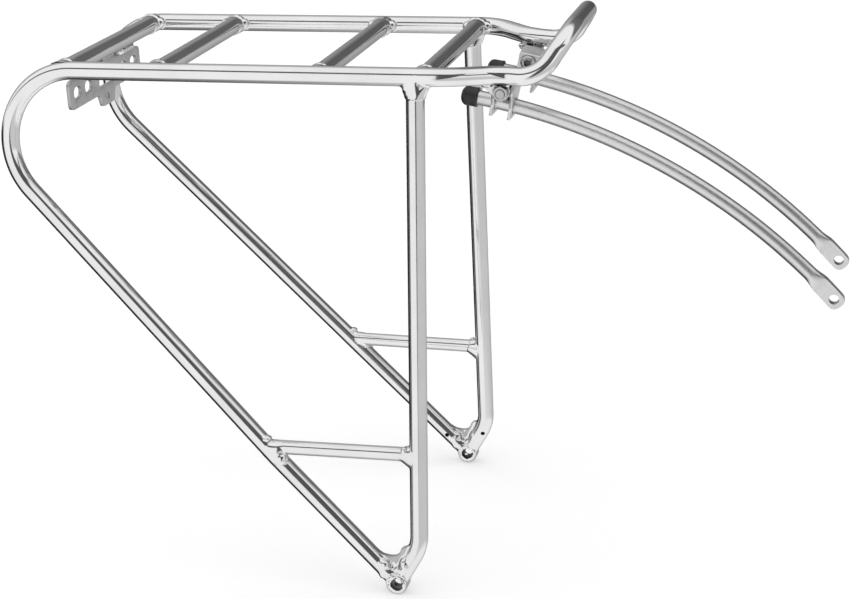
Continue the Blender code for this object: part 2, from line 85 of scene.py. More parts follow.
# Places in millimetres, in the frame's own axes: +X forward, +Y to the rack's left, +Z up.
RAIL_Z = cad_centre_mm("right_rail").z
RAIL_Y = cad_centre_mm("left_rail").y
TAPER_START_X = 31.3
TAPER_END_X = 56.0
FRONT_RAIL_Y = 48.0
FRONT_RAIL_Z = 282.9
HOOP_FOOT = (77.5, 281.5)
HOOP_TOP_CORNER = (92.2, 33.0, 304.1)
HOOP_BENDS_R = (34.0, 27.0, 17.5, 24.0)
CROSSBARS = ("rear_crossbar", "second_crossbar", "third_crossbar", "front_crossbar")
REAR_CORNER_X = -270.2
REAR_BEND_R = 40.3
KNEE = (-68.6, 85.3, 70.6)
KNEE_BEND_R = 90.0
FOOT_Y = 88.5
FRONT_LEG_TOP_X = 16.1
FRONT_LEG_KINK = (12.8, 86.6, 22.0)
FRONT_LEG_BEND_R = 28.0
STRUT_Z = 76.5
STRUT_ENDS_X = (-73.5, 14.0)

BOSS_R = 6.25
BOSS_HALF = 4.0
BOSS_HOLE_R = 2.35
OUTER_RECESS = (4.1, 2.0)
INNER_RECESS = (5.2, 2.6)
GUSSET_HALF = 1.5
GUSSET_TOP = [(6.4, 22.6), (4.2, 22.0), (2.6, 20.4), (1.8, 18.4), (0.6, 16.8)]
GUSSET_TOP += [(-1.4, 16.0), (-4.2, 15.9), (-7.6, 16.4)]
VENT_R = 1.35
VENTS = ((-12.7, 13.2), (11.3, 16.3))

PLATE_X = -189.3
PLATE_HALF = 1.0
PLATE_HALF_WIDTH = 50.0
PLATE_TOP_Z = 276.0
PLATE_BOTTOM_Z = 257.8
TAB_RISE = 3.6
LIGHT_HOLES_Y = (25.0, 40.0)
LIGHT_SLOT_Z = 266.5
LIGHT_SLOT_HALF = (5.0, 3.4)
LIGHT_SLOT_BEND_R = 3.3
WINDOW_Z = 266.5
WINDOW_HALF = (10.5, 4.5)

STAY_Y = 32.5
ARC_CENTRE = (-18.5, -67.9)
ARC_R = 340.0
STAY_REAR_DEG = 9.0
CLAMP_DEG = 12.6
PADDLE_START_DEG = 44.3
PADDLE_FLAT_DEG = 46.2
TIP_START_DEG = 47.6
EYE_DEG = 47.5
STAY_FRONT_DEG = 48.42
EYE_R = 2.75
PADDLE_HALF_WIDTH = 4.9
PADDLE_HALF_THICKNESS = 2.35

SHEET = 1.8
CLAMP_HALF = 5.9
BOLT_RISE = 9.8
BOLT_R = 2.5
BOLT_FACE = 8.5
SOCKET_R = 2.3
NUT_HEIGHT = 2.6
NUT_CORNER_R = 4.3
NUT_HOLE_R = 2.7
LUG_Y = 47.0
LUG_THICKNESS = 2.2
CAP_LENGTH = 9.5
CAP_R = 5.4
DOME_START = 1.5
DOME_HEIGHT = 3.7


# The studio: how bright its parts are, and where the seam overhead lies, in degrees.
LIT = 1.04
RIGHT_FLOOR = 0.68
BACK_FLOOR = 0.66
LEFT_BACK = 0.03
LEFT_WALL = 0.6
BACK_WALL = 0.17
GAP = 0.1
SEAM_TILT = (32.5, 46.5)
FLOOR_GLOW = 0.35
DEGREES = 180 / math.pi
FLOOR_R = 6000.0
FLOOR_SIDES = 64

# The camera: its place in metres, its turns about X, Y and Z, and its lens.
CAMERA_PLACE = (0.25836, -0.96522, 0.49892)
CAMERA_TURN_DEG = (70.0955, 2.2279, 14.2549)
LENS = 77.2


# Settings ---------------------------------------------------------------------


def length_setting(name, description, default):
    return bpy.props.FloatProperty(
        name=name,
        description=description,
        default=default,
        min=0.0002,
        subtype="DISTANCE",
        unit="LENGTH",
    )


def colour_setting(name, description, grey_level):
    return bpy.props.FloatVectorProperty(
        name=name,
        description=description,
        default=(grey_level,) * 3,
        subtype="COLOR",
        min=0,
        max=1,
    )


class RackTubeSettings(bpy.types.PropertyGroup):
    radius: length_setting("Tube Radius", "Outside radius of the frame tube", 0.005)
    strut_radius: length_setting("Strut Radius", "Outside radius of the side struts", 0.004)
    stay_radius: length_setting("Stay Radius", "Outside radius of the front stays", 0.004)
    facets: bpy.props.IntProperty(
        name="Facets", description="Number of faces around a tube", default=48, min=12
    )


class RackWeldSettings(bpy.types.PropertyGroup):
    leg_reach: length_setting(
        "Leg Weld", "How far the weld spreads between a front leg and the rail", 0.0030
    )
    crossbar_reach: length_setting(
        "Crossbar Weld", "How far the weld spreads between a crossbar and the rail", 0.0050
    )
    strut_reach: length_setting(
        "Strut Weld", "How far the weld spreads between a strut and a leg", 0.0036
    )
    foot_reach: length_setting(
        "Foot Weld", "How far the weld spreads between the legs, the gusset and the boss", 0.0030
    )
    pitch: length_setting(
        "Weld Mesh Pitch", "Spacing of the mesh that the welds are made from", 0.00055
    )


class RackFinishSettings(bpy.types.PropertyGroup):
    polished: colour_setting("Polished Steel", "Colour of the tubes and welds", 0.80)
    satin: colour_setting("Satin Steel", "Colour of the brushed stays", 0.72)
    sheet: colour_setting("Sheet Steel", "Colour of the light plate, gussets and bolts", 0.49)
    clamp: colour_setting("Clamp Steel", "Colour of the clamps, lugs and foot bosses", 0.74)
    rubber: colour_setting("Rubber", "Colour of the end caps", 0.012)


class RackStageSettings(bpy.types.PropertyGroup):
    floor: colour_setting("Floor", "Colour of the studio floor", 0.93)


# Shaders ----------------------------------------------------------------------


def maths(operation, swapped=False):
    """A method that puts one Math node on a value and another value or number."""

    def apply(self, other):
        return self.math(operation, *((other, self) if swapped else (self, other)))

    return apply


class Value:
    """An output socket of a shader node that takes part in Python expressions."""

    __add__, __radd__ = maths("ADD"), maths("ADD", True)
    __sub__, __rsub__ = maths("SUBTRACT"), maths("SUBTRACT", True)
    __mul__, __rmul__ = maths("MULTIPLY"), maths("MULTIPLY", True)

    def __init__(self, graph, socket):
        self.graph, self.socket = graph, socket

    def math(self, operation, *values):
        return self.graph.node("ShaderNodeMath", {"operation": operation}, dict(enumerate(values)))

    def __abs__(self):
        return self.math("ABSOLUTE", self)

    def turn(self, other):
        """The angle whose sine and cosine are as this value and the other, in radians."""
        return self.math("ARCTAN2", self, other)

    def towards(self, other, share):
        """This value moved towards another by a share between 0 and 1."""
        return self + (other - self) * share

    def between(self, low, high):
        """0 below low, 1 above high, with a smooth rise."""
        return self.graph.node(
            "ShaderNodeMapRange",
            {"interpolation_type": "SMOOTHSTEP"},
            {"Value": self, "From Min": low, "From Max": high},
        )

    def band(self, low, high, soft):
        """1 between low and high, falling to 0 over the soft width outside."""
        return self.between(low - soft, low) * (1 - self.between(high, high + soft))


class Graph:
    """A node tree being filled."""

    def __init__(self, tree):
        self.tree = tree
        tree.nodes.clear()

    def node(self, kind, settings=None, sockets=None, output=0):
        """Adds a node: its settings first, then its sockets' values or links. Returns one output."""
        made = self.tree.nodes.new(kind)
        for name, value in (settings or {}).items():
            setattr(made, name, value)
        for name, value in (sockets or {}).items():
            if isinstance(value, Value):
                self.tree.links.new(value.socket, made.inputs[name])
            else:
                made.inputs[name].default_value = value
        if not made.outputs:
            return None
        return Value(self, made.outputs[output])

    def mix(self, factor, first, second):
        """A colour between two colours."""
        sockets = {0: factor, 6: first, 7: second}
        return self.node("ShaderNodeMix", {"data_type": "RGBA"}, sockets, 2)

    def scaled(self, vector, by):
        """A vector times another, part by part."""
        sockets = {0: vector, 1: by}
        return self.node("ShaderNodeVectorMath", {"operation": "MULTIPLY"}, sockets)

    def noise(self, vector, scale, detail=2.0, roughness=0.5):
        sockets = {"Vector": vector, "Scale": scale, "Detail": detail, "Roughness": roughness}
        return self.node("ShaderNodeTexNoise", {}, sockets)

    def place(self):
        """Where a point is on the object, in metres."""
        return self.node("ShaderNodeTexCoord", {}, {}, "Object")

    def grain(self):
        """Where a point is along and around its bar, in millimetres."""
        return self.node("ShaderNodeAttribute", {"attribute_name": "grain"}, {}, "Vector")

    def corner_shade(self, reach):
        """0 on an open surface, towards 1 deep in a corner, from ambient occlusion: the mask of painted
        shade. The reach is in metres.
        """
        settings, sockets = {"samples": 6}, {"Distance": reach}
        # Ambient occlusion: how much nearby surfaces hide a point, used only to paint shade into
        # colour.
        return 1 - self.node("ShaderNodeAmbientOcclusion", settings, sockets, "AO")

    def bump(self, height, distance, strength):
        sockets = {"Height": height, "Distance": distance, "Strength": strength}
        return self.node("ShaderNodeBump", {}, sockets)

    def surface(self, **sockets):
        named = {name.replace("_", " "): value for name, value in sockets.items()}
        shader = self.node("ShaderNodeBsdfPrincipled", {}, named)
        self.node("ShaderNodeOutputMaterial", {}, {"Surface": shader})


def grey(colour, scale=1.0):
    return (*(channel * scale for channel in colour[:3]), 1.0)


def material(name, fill, *values):
    """The material of this name, made by fill(graph, *values) the first time."""
    made = bpy.data.materials.get(name)
    if made is None:
        made = bpy.data.materials.new(name)
        made.use_nodes = True
        fill(Graph(made.node_tree), *values)
    return made


def fill_polished(graph, colour, along_bar):
    """Mirror-polished steel with fine polishing marks and a faint haze. A weld gets painted shade in
    its corners.
    """
    place = graph.place()
    haze = graph.noise(place, 38.0, 3.0)
    marks = graph.noise(place, 900.0, 2.0, 0.6)
    if along_bar:
        strokes = graph.noise(graph.scaled(graph.grain(), (0.05, 1.7, 1.7)), 1.0, 3.0, 0.6)
    else:
        strokes = graph.noise(place, 420.0, 3.0, 0.6)
    rough = 0.085 + haze.between(0.35, 0.75) * 0.05 + strokes.between(0.45, 0.8) * 0.05
    tone = graph.mix(haze.between(0.3, 0.7), grey(colour), grey(colour, 0.94))
    # Painted shade: on a weld the tone darkens to a tenth in corners that ambient occlusion finds.
    if not along_bar:
        tone = graph.mix(graph.corner_shade(0.0022).between(0.22, 0.6), tone, grey(colour, 0.1))
    normal = graph.bump(marks * 0.5 + strokes, 0.00001, 0.35)
    graph.surface(
        Base_Color=tone,
        Metallic=1.0,
        Roughness=rough,
        Specular_Tint=(0.5, 0.5, 0.5, 1),
        Normal=normal,
    )


def fill_satin(graph, colour):
    """Brushed steel: strokes run along the bar and break up its reflections."""
    grain = graph.grain()
    strokes = graph.noise(graph.scaled(grain, (0.35, 5.0, 5.0)), 1.0, 4.0, 0.65)
    fine = graph.noise(graph.scaled(grain, (1.4, 9.0, 9.0)), 1.0, 2.0, 0.6)
    speckle = graph.noise(graph.place(), 1500.0, 2.0, 0.7)
    rough = 0.26 + strokes.between(0.3, 0.75) * 0.14
    tone = graph.mix(strokes.between(0.35, 0.7), grey(colour), grey(colour, 0.86))
    normal = graph.bump(strokes + fine * 0.6 + speckle * 0.5, 0.00005, 0.5)
    graph.surface(
        Base_Color=tone,
        Metallic=1.0,
        Roughness=rough,
        Specular_Tint=(0.45, 0.45, 0.45, 1),
        Normal=normal,
    )


def fill_sheet(graph, colour):
    """Rolled sheet with a dull even finish, a little mottled, with painted shade darkening its corners.
    """
    place = graph.place()
    mottle = graph.noise(place, 160.0, 4.0, 0.6)
    rolled = graph.noise(graph.scaled(place, (1.0, 0.08, 1.0)), 2400.0, 2.0, 0.5)
    specks = graph.noise(place, 2600.0, 2.0, 0.6)
    rough = 0.36 + mottle.between(0.3, 0.7) * 0.1
    tone = graph.mix(mottle.between(0.3, 0.7), grey(colour), grey(colour, 0.9))
    # Painted shade: the tone darkens in corners that ambient occlusion finds.
    tone = graph.mix(graph.corner_shade(0.0025).between(0.2, 0.6), tone, grey(colour, 0.12))
    graph.surface(
        Base_Color=tone,
        Metallic=1.0,
        Roughness=rough,
        Normal=graph.bump(mottle + rolled * 0.2 + specks * 0.4, 0.00002, 0.3),
    )


def fill_fastener(graph, colour):
    """Plated bolts and nuts."""
    place = graph.place()
    mottle = graph.noise(place, 500.0, 3.0)
    graph.surface(
        Base_Color=graph.mix(mottle, grey(colour), grey(colour, 0.85)),
        Metallic=1.0,
        Roughness=0.22 + mottle * 0.12,
        Normal=graph.bump(mottle, 0.00002, 0.4),
    )


def fill_rubber(graph, colour):
    """Moulded black rubber with a soft sheen."""
    place = graph.place()
    skin = graph.noise(place, 1600.0, 3.0, 0.6)
    dust = graph.noise(place, 300.0, 3.0)
    graph.surface(
        Base_Color=graph.mix(dust.between(0.5, 0.8), grey(colour), grey(colour, 1.9)),
        Roughness=0.36 + dust.between(0.3, 0.8) * 0.14,
        Normal=graph.bump(skin, 0.00004, 0.5),
    )


def fill_painted_hole_shade(graph):
    """Painted shade inside a hole: dark grey, a little mottled."""
    hole_shade_mottle = graph.noise(graph.place(), 700.0, 2.0)
    graph.surface(
        Base_Color=graph.mix(hole_shade_mottle, (0.10, 0.10, 0.10, 1), (0.17, 0.17, 0.17, 1)),
        Metallic=0.8,
        Roughness=0.34 + hole_shade_mottle * 0.16,
    )


def polished_bar(finishes):
    return material("polished_steel_bar", fill_polished, finishes.polished, True)


def polished_weld(finishes):
    return material("polished_steel_weld", fill_polished, finishes.polished, False)


def sheet_steel(finishes):
    return material("sheet_steel_plate", fill_sheet, finishes.sheet)


def clamp_steel(finishes):
    return material("clamp_steel_folded", fill_sheet, finishes.clamp)


# Painted shade for the walls of holes, recesses and sockets.
def painted_hole_shade():
    return material("painted_hole_shade", fill_painted_hole_shade)


# Meshes -----------------------------------------------------------------------


def add_piece(name, points, faces, finish, grain=None):
    """A mesh object from points in millimetres."""
    mesh = bpy.data.meshes.new(name)
    mesh.from_pydata([tuple(float(c) * MM for c in p) for p in points], [], faces)
    mesh.validate()
    if grain is not None:
        layer = mesh.attributes.new("grain", "FLOAT_VECTOR", "POINT")
        layer.data.foreach_set("vector", np.asarray(grain, np.float32).ravel())
    mesh.materials.append(finish)
    obj = bpy.data.objects.new(name, mesh)
    bpy.context.scene.collection.objects.link(obj)
    return obj


def face_outwards(obj):
    bm = bmesh.new()
    bm.from_mesh(obj.data)
    bmesh.ops.recalc_face_normals(bm, faces=bm.faces)
    if bm.calc_volume(signed=True) < 0:
        bmesh.ops.reverse_faces(bm, faces=bm.faces)
    bm.to_mesh(obj.data)
    bm.free()


def carve(obj, *cutters):
    """Cuts the cutters out of the piece for good. The cut faces take the cutter's finish."""
    for cutter in cutters:
        face_outwards(cutter)
        modifier = obj.modifiers.new("cut", "BOOLEAN")
        modifier.operation, modifier.solver = "DIFFERENCE", "EXACT"
        modifier.material_mode = "TRANSFER"
        modifier.object = cutter
    settle(obj)
    for cutter in cutters:
        bpy.data.objects.remove(cutter, do_unlink=True)


def settle(obj):
    """Turns the piece's modifiers into its own mesh."""
    graph = bpy.context.evaluated_depsgraph_get()
    mesh = bpy.data.meshes.new_from_object(obj.evaluated_get(graph))
    obj.modifiers.clear()
    obj.data = mesh


def round_edges(obj, width, segments=2):
    modifier = obj.modifiers.new("edges", "BEVEL")
    modifier.width, modifier.segments = width * MM, segments
    modifier.limit_method, modifier.angle_limit = "ANGLE", math.radians(30)
    modifier.harden_normals = False
    settle(obj)


def place_piece(obj, nodes=(), sharp=35.0):
    """Smooth shading with sharp edges kept, and the piece's place in the frame."""
    if sharp:
        obj.data.shade_smooth()
        obj.data.set_sharp_from_angle(angle=math.radians(sharp))
    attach(obj, BODY_OF[nodes[0]] if nodes else "frame")
    if nodes:
        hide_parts(*nodes)


def rounded_path(corners, radii, step_deg=3.0):
    """Points along a polyline whose inner corners are replaced by arcs."""
    corners = [Vector(c) for c in corners]
    points = [corners[0]]
    for before, corner, after, radius in zip(corners, corners[1:], corners[2:], radii):
        u = (before - corner).normalized()
        v = (after - corner).normalized()
        turn = math.pi - u.angle(v)
        reach = radius * math.tan(turn / 2)
        centre = corner + (u + v).normalized() * radius / math.cos(turn / 2)
        outward = (corner + u * reach - centre) / radius
        steps = max(2, math.ceil(math.degrees(turn) / step_deg))
        for i in range(steps + 1):
            angle = turn * i / steps
            points.append(centre + (outward * math.cos(angle) - u * math.sin(angle)) * radius)
    points.append(corners[-1])
    return points


def frames_along(points):
    """A tangent and two normals at each point, carried along without twist."""
    side = None
    frames = []
    for i, point in enumerate(points):
        into = (point - points[max(i - 1, 0)]).normalized()
        out = (points[min(i + 1, len(points) - 1)] - point).normalized()
        tangent = (into + out).normalized()
        if side is None:
            side = tangent.cross(Vector((0.1, 1, 0.2)))
        side = (side - tangent * side.dot(tangent)).normalized()
        frames.append((tangent, side, tangent.cross(side)))
    return frames


def circle(sides):
    """The cosine and sine of each corner of a regular polygon."""
    turns = [math.tau * k / sides for k in range(sides)]
    return [(math.cos(turn), math.sin(turn)) for turn in turns]


def ringed_solid(name, places, columns, finish, grain=None, closed=False):
    """A solid over successive rings of points, capped at its ends or closed round on itself."""
    rows = len(places) // columns
    faces = []
    for row in range(rows if closed else rows - 1):
        here, ahead = row * columns, (row + 1) % rows * columns
        for c in range(columns):
            n = (c + 1) % columns
            faces.append((here + c, here + n, ahead + n, ahead + c))
    if not closed:
        faces.append(tuple(range(columns))[::-1])
        faces.append(tuple(range(len(places) - columns, len(places))))
    obj = add_piece(name, places, faces, finish, grain)
    face_outwards(obj)
    return obj


def bar(name, points, radius, sides, finish):
    """A round bar along the points, with flat ends."""
    points = [Vector(p) for p in points]
    places, grain, along = [], [], 0.0
    for i, (point, (_, side, other)) in enumerate(zip(points, frames_along(points))):
        along += (point - points[max(i - 1, 0)]).length
        for c, s in circle(sides):
            places.append(point + (side * c + other * s) * radius)
            grain.append((along, c * radius, s * radius))
    return ringed_solid(name, places, sides, finish, grain)


def lathe(name, profile, origin, axis, sides, finish, closed=False):
    """The profile, as (distance along, radius) pairs, turned about the axis."""
    axis, origin = Vector(axis).normalized(), Vector(origin)
    side = axis.orthogonal().normalized()
    other = axis.cross(side)
    places, grain = [], []
    for distance, radius in profile:
        for c, s in circle(sides):
            places.append(origin + axis * distance + (side * c + other * s) * radius)
            grain.append((distance, c * radius, s * radius))
    return ringed_solid(name, places, sides, finish, grain, closed)


def rod(name, start, end, radius, finish, sides=40):
    return bar(name, [start, end], radius, sides, finish)


def axes(origin, u, v):
    """A matrix that takes plane coordinates (u, v, normal) to the frame."""
    u, v = Vector(u).normalized(), Vector(v).normalized()
    matrix = Matrix((u, v, u.cross(v))).transposed().to_4x4()
    matrix.translation = Vector(origin)
    return matrix


def plate(name, outline, half, to_frame, finish):
    """A flat plate, its outline in its own plane, this far each side of the plane."""
    places = [to_frame @ Vector((u, v, h)) for h in (-half, half) for u, v in outline]
    return ringed_solid(name, places, len(outline), finish)


def rounded_outline(corners, radii, step_deg=12.0):
    flat = [Vector((u, v, 0)) for u, v in corners]
    closed = [flat[-1], *flat, flat[0]]
    outline = []
    for before, corner, after, radius in zip(closed, closed[1:], closed[2:], radii):
        path = rounded_path([before, corner, after], [radius], step_deg)[1:-1]
        outline.extend((p.x, p.y) for p in path)
    return outline


def rounded_box(centre, half, radius):
    """A box outline with rounded corners."""
    (u, v), (w, h) = centre, half
    corners = [(u - w, v - h), (u + w, v - h), (u + w, v + h), (u - w, v + h)]
    return rounded_outline(corners, [radius] * 4)


def arc(centre, radius, start_deg, end_deg, steps):
    x, y = centre
    turns = np.radians(np.linspace(start_deg, end_deg, steps + 1))
    return [(x + radius * math.cos(turn), y + radius * math.sin(turn)) for turn in turns]


# Weld surfaces ----------------------------------------------------------------
# A weld is the smooth blend of the distances to the parts that it joins and to
# its own beads, meshed only where it stands clear of the parts.
# A bead is an oval ball: its place from the joint, with Y outwards, and its radii.

LEAST_FILL = 0.25  # the share of a weld that even flush parts get
STANDING_CLEAR = 0.025
RIM_SINK = 0.04

CROSSBAR_BEADS = (
    ((0, -5.4, 1.0), (6.0, 3.4, 4.9)),
    ((-6.2, -5.6, 0.8), (2.3, 2.4, 2.6)),
    ((6.2, -5.6, 0.8), (2.3, 2.4, 2.6)),
)
STRUT_REAR_BEADS = (
    ((4.2, 0.8, -1.6), (7.2, 4.6, 5.6)),
    ((8.2, 3.0, -6.0), (3.9, 3.2, 3.9)),
    ((0.5, 1.0, 5.3), (2.6, 2.6, 1.8)),
)
STRUT_FRONT_BEADS = (((-8.0, 2.2, 3.0), (1.8, 1.8, 2.2)),)
FOOT_BEADS = (
    ((-7.2, 2.0, 11.2), (3.4, 2.8, 3.0)),
    ((4.6, 2.0, 12.0), (2.6, 2.7, 3.9)),
    ((-8.0, 2.8, 5.4), (2.0, 2.0, 2.4)),
)
FOOT_WEB = [(-6.2, 3.2), (6.2, 3.2), (0, 9.6)]
LIGHT_PLATE_BEADS = [((3.6, y, 2.4), (3.6, 3.0, 2.8)) for y in np.arange(15.5, 29, 3.2)]
LIGHT_PLATE_TAB = [(14.5, 270), (29.5, 270), (29.5, 279.4), (14.5, 279.4)]
LUG_BEADS = [((x, 1.1, -0.1), (1.9, 1.4, 1.3)) for x in (-6.0, -3.9, 3.4, 5.4)]
LUG_TAB = [(-7, -9), (6.4, -9), (6.4, 0), (-7, 0)]

# A kind of weld: its box from the joint, with Y outwards, how far its beads blend in,
# and its unevenness, the wavelength of that and where its waves start.
WELD_KINDS = {
    "crossbar": ((-13, -16, -7), (13, 3, 7), 1.1, 0.25, 6.0, 0.0),
    "front_leg": ((-14, -9, -19), (14, 10, 3), 1.1, 0.28, 6.0, 1.3),
    "strut_rear": ((-19, -9, -16), (19, 9, 16), 1.4, 0.05, 6.5, 2.0),
    "strut_front": ((-19, -9, -16), (19, 9, 16), 0.9, 0.05, 6.5, 2.0),
    "foot": ((-22, -8, -7), (18, 8, 32), 1.7, 0.08, 4.0, 0.7),
    "light_plate": ((-4, 10, -3), (9, 34, 8), 1.1, 0.1, 4.5, 0.4),
    "lug": ((-10, -5, -4), (10, 5, 3), 1.1, 0.1, 4.5, 2.4),
}
LIGHT_PLATE_REACH = 1.6
LUG_REACH = 1.2


def line_distance(points, line):
    """Each point's distance to a polyline."""
    nearest = np.full(len(points), np.inf)
    for start, end in zip(line, line[1:]):
        run = end - start
        share = np.clip(((points - start) @ run) / (run @ run), 0, 1)
        gap = points - start - share[:, None] * run
        nearest = np.minimum(nearest, np.einsum("ij,ij->i", gap, gap))
    return np.sqrt(nearest)


def bar_field(path, radius):
    line = np.array([tuple(p) for p in path], float)
    return lambda points: line_distance(points, line) - radius


def drum_field(centre, radius, half):
    """A short cylinder along Y."""
    x, y, z = centre

    def field(points):
        away = np.hypot(points[:, 0] - x, points[:, 2] - z) - radius
        return np.maximum(away, np.abs(points[:, 1] - y) - half)

    return field


def ball_field(centre, radii):
    centre, radii = np.array(centre, float), np.array(radii, float)
    return lambda p: (np.linalg.norm((p - centre) / radii, axis=1) - 1) * radii.min()


def bead_fields(joint, side, beads):
    return [
        ball_field((joint[0] + x, joint[1] + side * y, joint[2] + z), radii)
        for (x, y, z), radii in beads
    ]


def plate_field(outline, half, to_frame):
    """A flat plate with a polygon outline."""
    inverse = np.array(to_frame.inverted())
    ring = np.array(outline, float)

    def field(points):
        local = points @ inverse[:3, :3].T + inverse[:3, 3]
        flat = local[:, :2]
        edge = np.full(len(flat), np.inf)
        inside = np.zeros(len(flat), bool)
        for start, end in zip(ring, np.roll(ring, -1, axis=0)):
            run = end - start
            share = np.clip(((flat - start) @ run) / (run @ run), 0, 1)
            gap = flat - start - share[:, None] * run
            edge = np.minimum(edge, np.hypot(gap[:, 0], gap[:, 1]))
            rises = (start[1] > flat[:, 1]) != (end[1] > flat[:, 1])
            rise = run[1] if abs(run[1]) > 1e-9 else 1e-9
            inside ^= rises & (flat[:, 0] < start[0] + (flat[:, 1] - start[1]) * run[0] / rise)
        edge = np.where(inside, -edge, edge)
        deep = np.abs(local[:, 2]) - half
        outer = np.hypot(np.maximum(edge, 0), np.maximum(deep, 0))
        return outer + np.minimum(np.maximum(edge, deep), 0)

    return field


def collar_field(start, end, start_radii, end_radii):
    """A straight oval bar whose radii, along X and across it, change from end to end."""
    start, end = np.array(start, float), np.array(end, float)
    length = np.linalg.norm(end - start)
    axis = (end - start) / length
    along_x = np.array([1, 0, 0]) - axis * axis[0]
    along_x /= np.linalg.norm(along_x)
    across = np.cross(axis, along_x)
    start_radii, end_radii = np.array(start_radii, float), np.array(end_radii, float)

    def field(points):
        local = points - start
        height = local @ axis
        radii = start_radii + (end_radii - start_radii) * np.clip(height / length, 0, 1)[:, None]
        oval = np.hypot(local @ along_x / radii[:, 0], local @ across / radii[:, 1])
        return np.maximum((oval - 1) * radii.min(axis=1), np.maximum(-height, height - length))

    return field


def without(field, cutter):
    return lambda p: np.maximum(field(p), -cutter(p))


def lumps(points, wavelength, phase):
    """A gentle unevenness between -1 and 1."""
    wave = math.tau / wavelength
    first = np.sin(points @ np.array([0.9, 0.5, -0.7]) * wave + phase)
    second = np.sin(points @ np.array([-0.6, 0.8, 0.6]) * wave * 1.13 + 2.1 * phase)
    third = np.sin(points @ np.array([0.3, -0.9, 0.8]) * wave * 0.71 + 3.7 * phase)
    return (first * second + third) / 2


def weld_fields(parts, beads, reach, bead_reach, unevenness, wavelength, phase):
    """The bare parts' field, and the field with the weld on them.

    The weld fills corners, and hardly touches parts that lie flush with each other.
    """

    def nearest(points, count=None):
        return np.min([part(points) for part in parts[:count]], axis=0)

    def welded(points):
        blended = parts[0](points)
        fill = np.zeros(len(points))
        for count, part in enumerate(parts[1:], 1):
            other = part(points)
            close = np.abs(blended - other) < reach
            corner = np.zeros(len(points))
            near_by = points[close]
            facing = slope(lambda p: nearest(p, count), near_by) * slope(part, near_by)
            corner[close] = np.clip(1 - facing.sum(axis=1), LEAST_FILL, 1)
            spread = reach * corner + 1e-6
            near = np.maximum(1 - np.abs(blended - other) / spread, 0)
            blended = np.minimum(blended, other) - near**3 * spread / 6
            fill = np.maximum(fill, near * near * (3 - 2 * near) * corner)
        for bead in beads:
            other = bead(points)
            near = np.maximum(1 - np.abs(blended - other) / bead_reach, 0)
            fill = np.maximum(fill, np.clip((blended - other) / bead_reach, 0, 1))
            blended = np.minimum(blended, other) - near**3 * bead_reach / 6
        return blended - unevenness * fill * lumps(points, wavelength, phase)

    return nearest, welded


def slope(field, points, step=0.02):
    rise = [field(points + step * axis) - field(points - step * axis) for axis in np.eye(3)]
    return np.stack(rise, axis=1) / (2 * step)


def unit_rows(vectors):
    return vectors / np.maximum(np.linalg.norm(vectors, axis=1), 1e-6)[:, None]


CELL_CORNERS = [(i, j, k) for i in (0, 1) for j in (0, 1) for k in (0, 1)]
CELL_EDGES = [
    (a, b)
    for a in CELL_CORNERS
    for b in CELL_CORNERS
    if a < b and sum(abs(p - q) for p, q in zip(a, b)) == 1
]


def level_surface(field, low, high, pitch):
    """Points and quads of the surface where the field is nothing, inside the box."""
    counts = [max(4, int(math.ceil((h - l) / pitch))) + 1 for l, h in zip(low, high)]
    steps = [np.linspace(l, h, n) for l, h, n in zip(low, high, counts)]
    grid = np.stack(np.meshgrid(*steps, indexing="ij"), axis=-1)
    value = field(grid.reshape(-1, 3)).reshape(counts)

    def corner(array, offset):
        i, j, k = offset
        return array[i : counts[0] - 1 + i, j : counts[1] - 1 + j, k : counts[2] - 1 + k]

    total = np.zeros([n - 1 for n in counts] + [3])
    crossings = np.zeros([n - 1 for n in counts])
    for a, b in CELL_EDGES:
        va, vb = corner(value, a), corner(value, b)
        crossed = (va < 0) != (vb < 0)
        share = np.where(crossed, va / np.where(crossed, va - vb, 1), 0)[..., None]
        place = corner(grid, a) * (1 - share) + corner(grid, b) * share
        total += place * crossed[..., None]
        crossings += crossed
    mixed = crossings > 0
    number = np.full(mixed.shape, -1)
    number[mixed] = np.arange(mixed.sum())
    points = total[mixed] / crossings[mixed][:, None]
    quads = []
    inside = value < 0
    for axis in range(3):
        order = (axis, (axis + 1) % 3, (axis + 2) % 3)
        within, cell = inside.transpose(order), number.transpose(order)
        change = (within[:-1] != within[1:])[:, 1:-1, 1:-1]
        i, j, k = np.nonzero(change)
        ring = [cell[i, j, k], cell[i, j + 1, k], cell[i, j + 1, k + 1], cell[i, j, k + 1]]
        ring = np.stack(ring, axis=1)
        outward = within[:-1, 1:-1, 1:-1][change]
        quads.append(np.where(outward[:, None], ring, ring[:, ::-1]))
    faces = np.concatenate(quads)
    faces = faces[(faces >= 0).all(axis=1)]
    for _ in range(3):
        rise = slope(field, points)
        size = np.maximum((rise * rise).sum(axis=1), 0.05)
        points = points - (np.clip(field(points), -0.5, 0.5) / size)[:, None] * rise
    return points, faces


def weld(name, fields, box, pitch, finish):
    """The weld between the parts, inside the box. Its rim is sunk just under their surfaces."""
    bare, welded = fields
    points, faces = level_surface(welded, *box, pitch)
    clear = bare(points)
    standing = clear > STANDING_CLEAR
    faces = faces[standing[faces].any(axis=1)]
    used = np.unique(faces)
    sunk = np.where(standing[used], 0.0, clear[used] + RIM_SINK)
    kept = points[used] - sunk[:, None] * unit_rows(slope(bare, points[used]))
    renumber = np.full(len(points), -1)
    renumber[used] = np.arange(len(used))
    obj = add_piece(name, kept, renumber[faces].tolist(), finish)
    # The rim takes the slope of the whole weld, so that its sunk edge doesn't show.
    facing = unit_rows(slope(welded, points[used]))
    obj.data.normals_split_custom_set_from_vertices(facing.tolist())
    place_piece(obj, sharp=None)


def room(centre, side, low, high):
    """The corners of the box about a joint, from offsets whose Y is outwards."""
    y_low, y_high = sorted(centre[1] + side * offset[1] for offset in (low, high))
    return (
        (centre[0] + low[0], y_low, centre[2] + low[2]),
        (centre[0] + high[0], y_high, centre[2] + high[2]),
    )


# Paths ------------------------------------------------------------------------


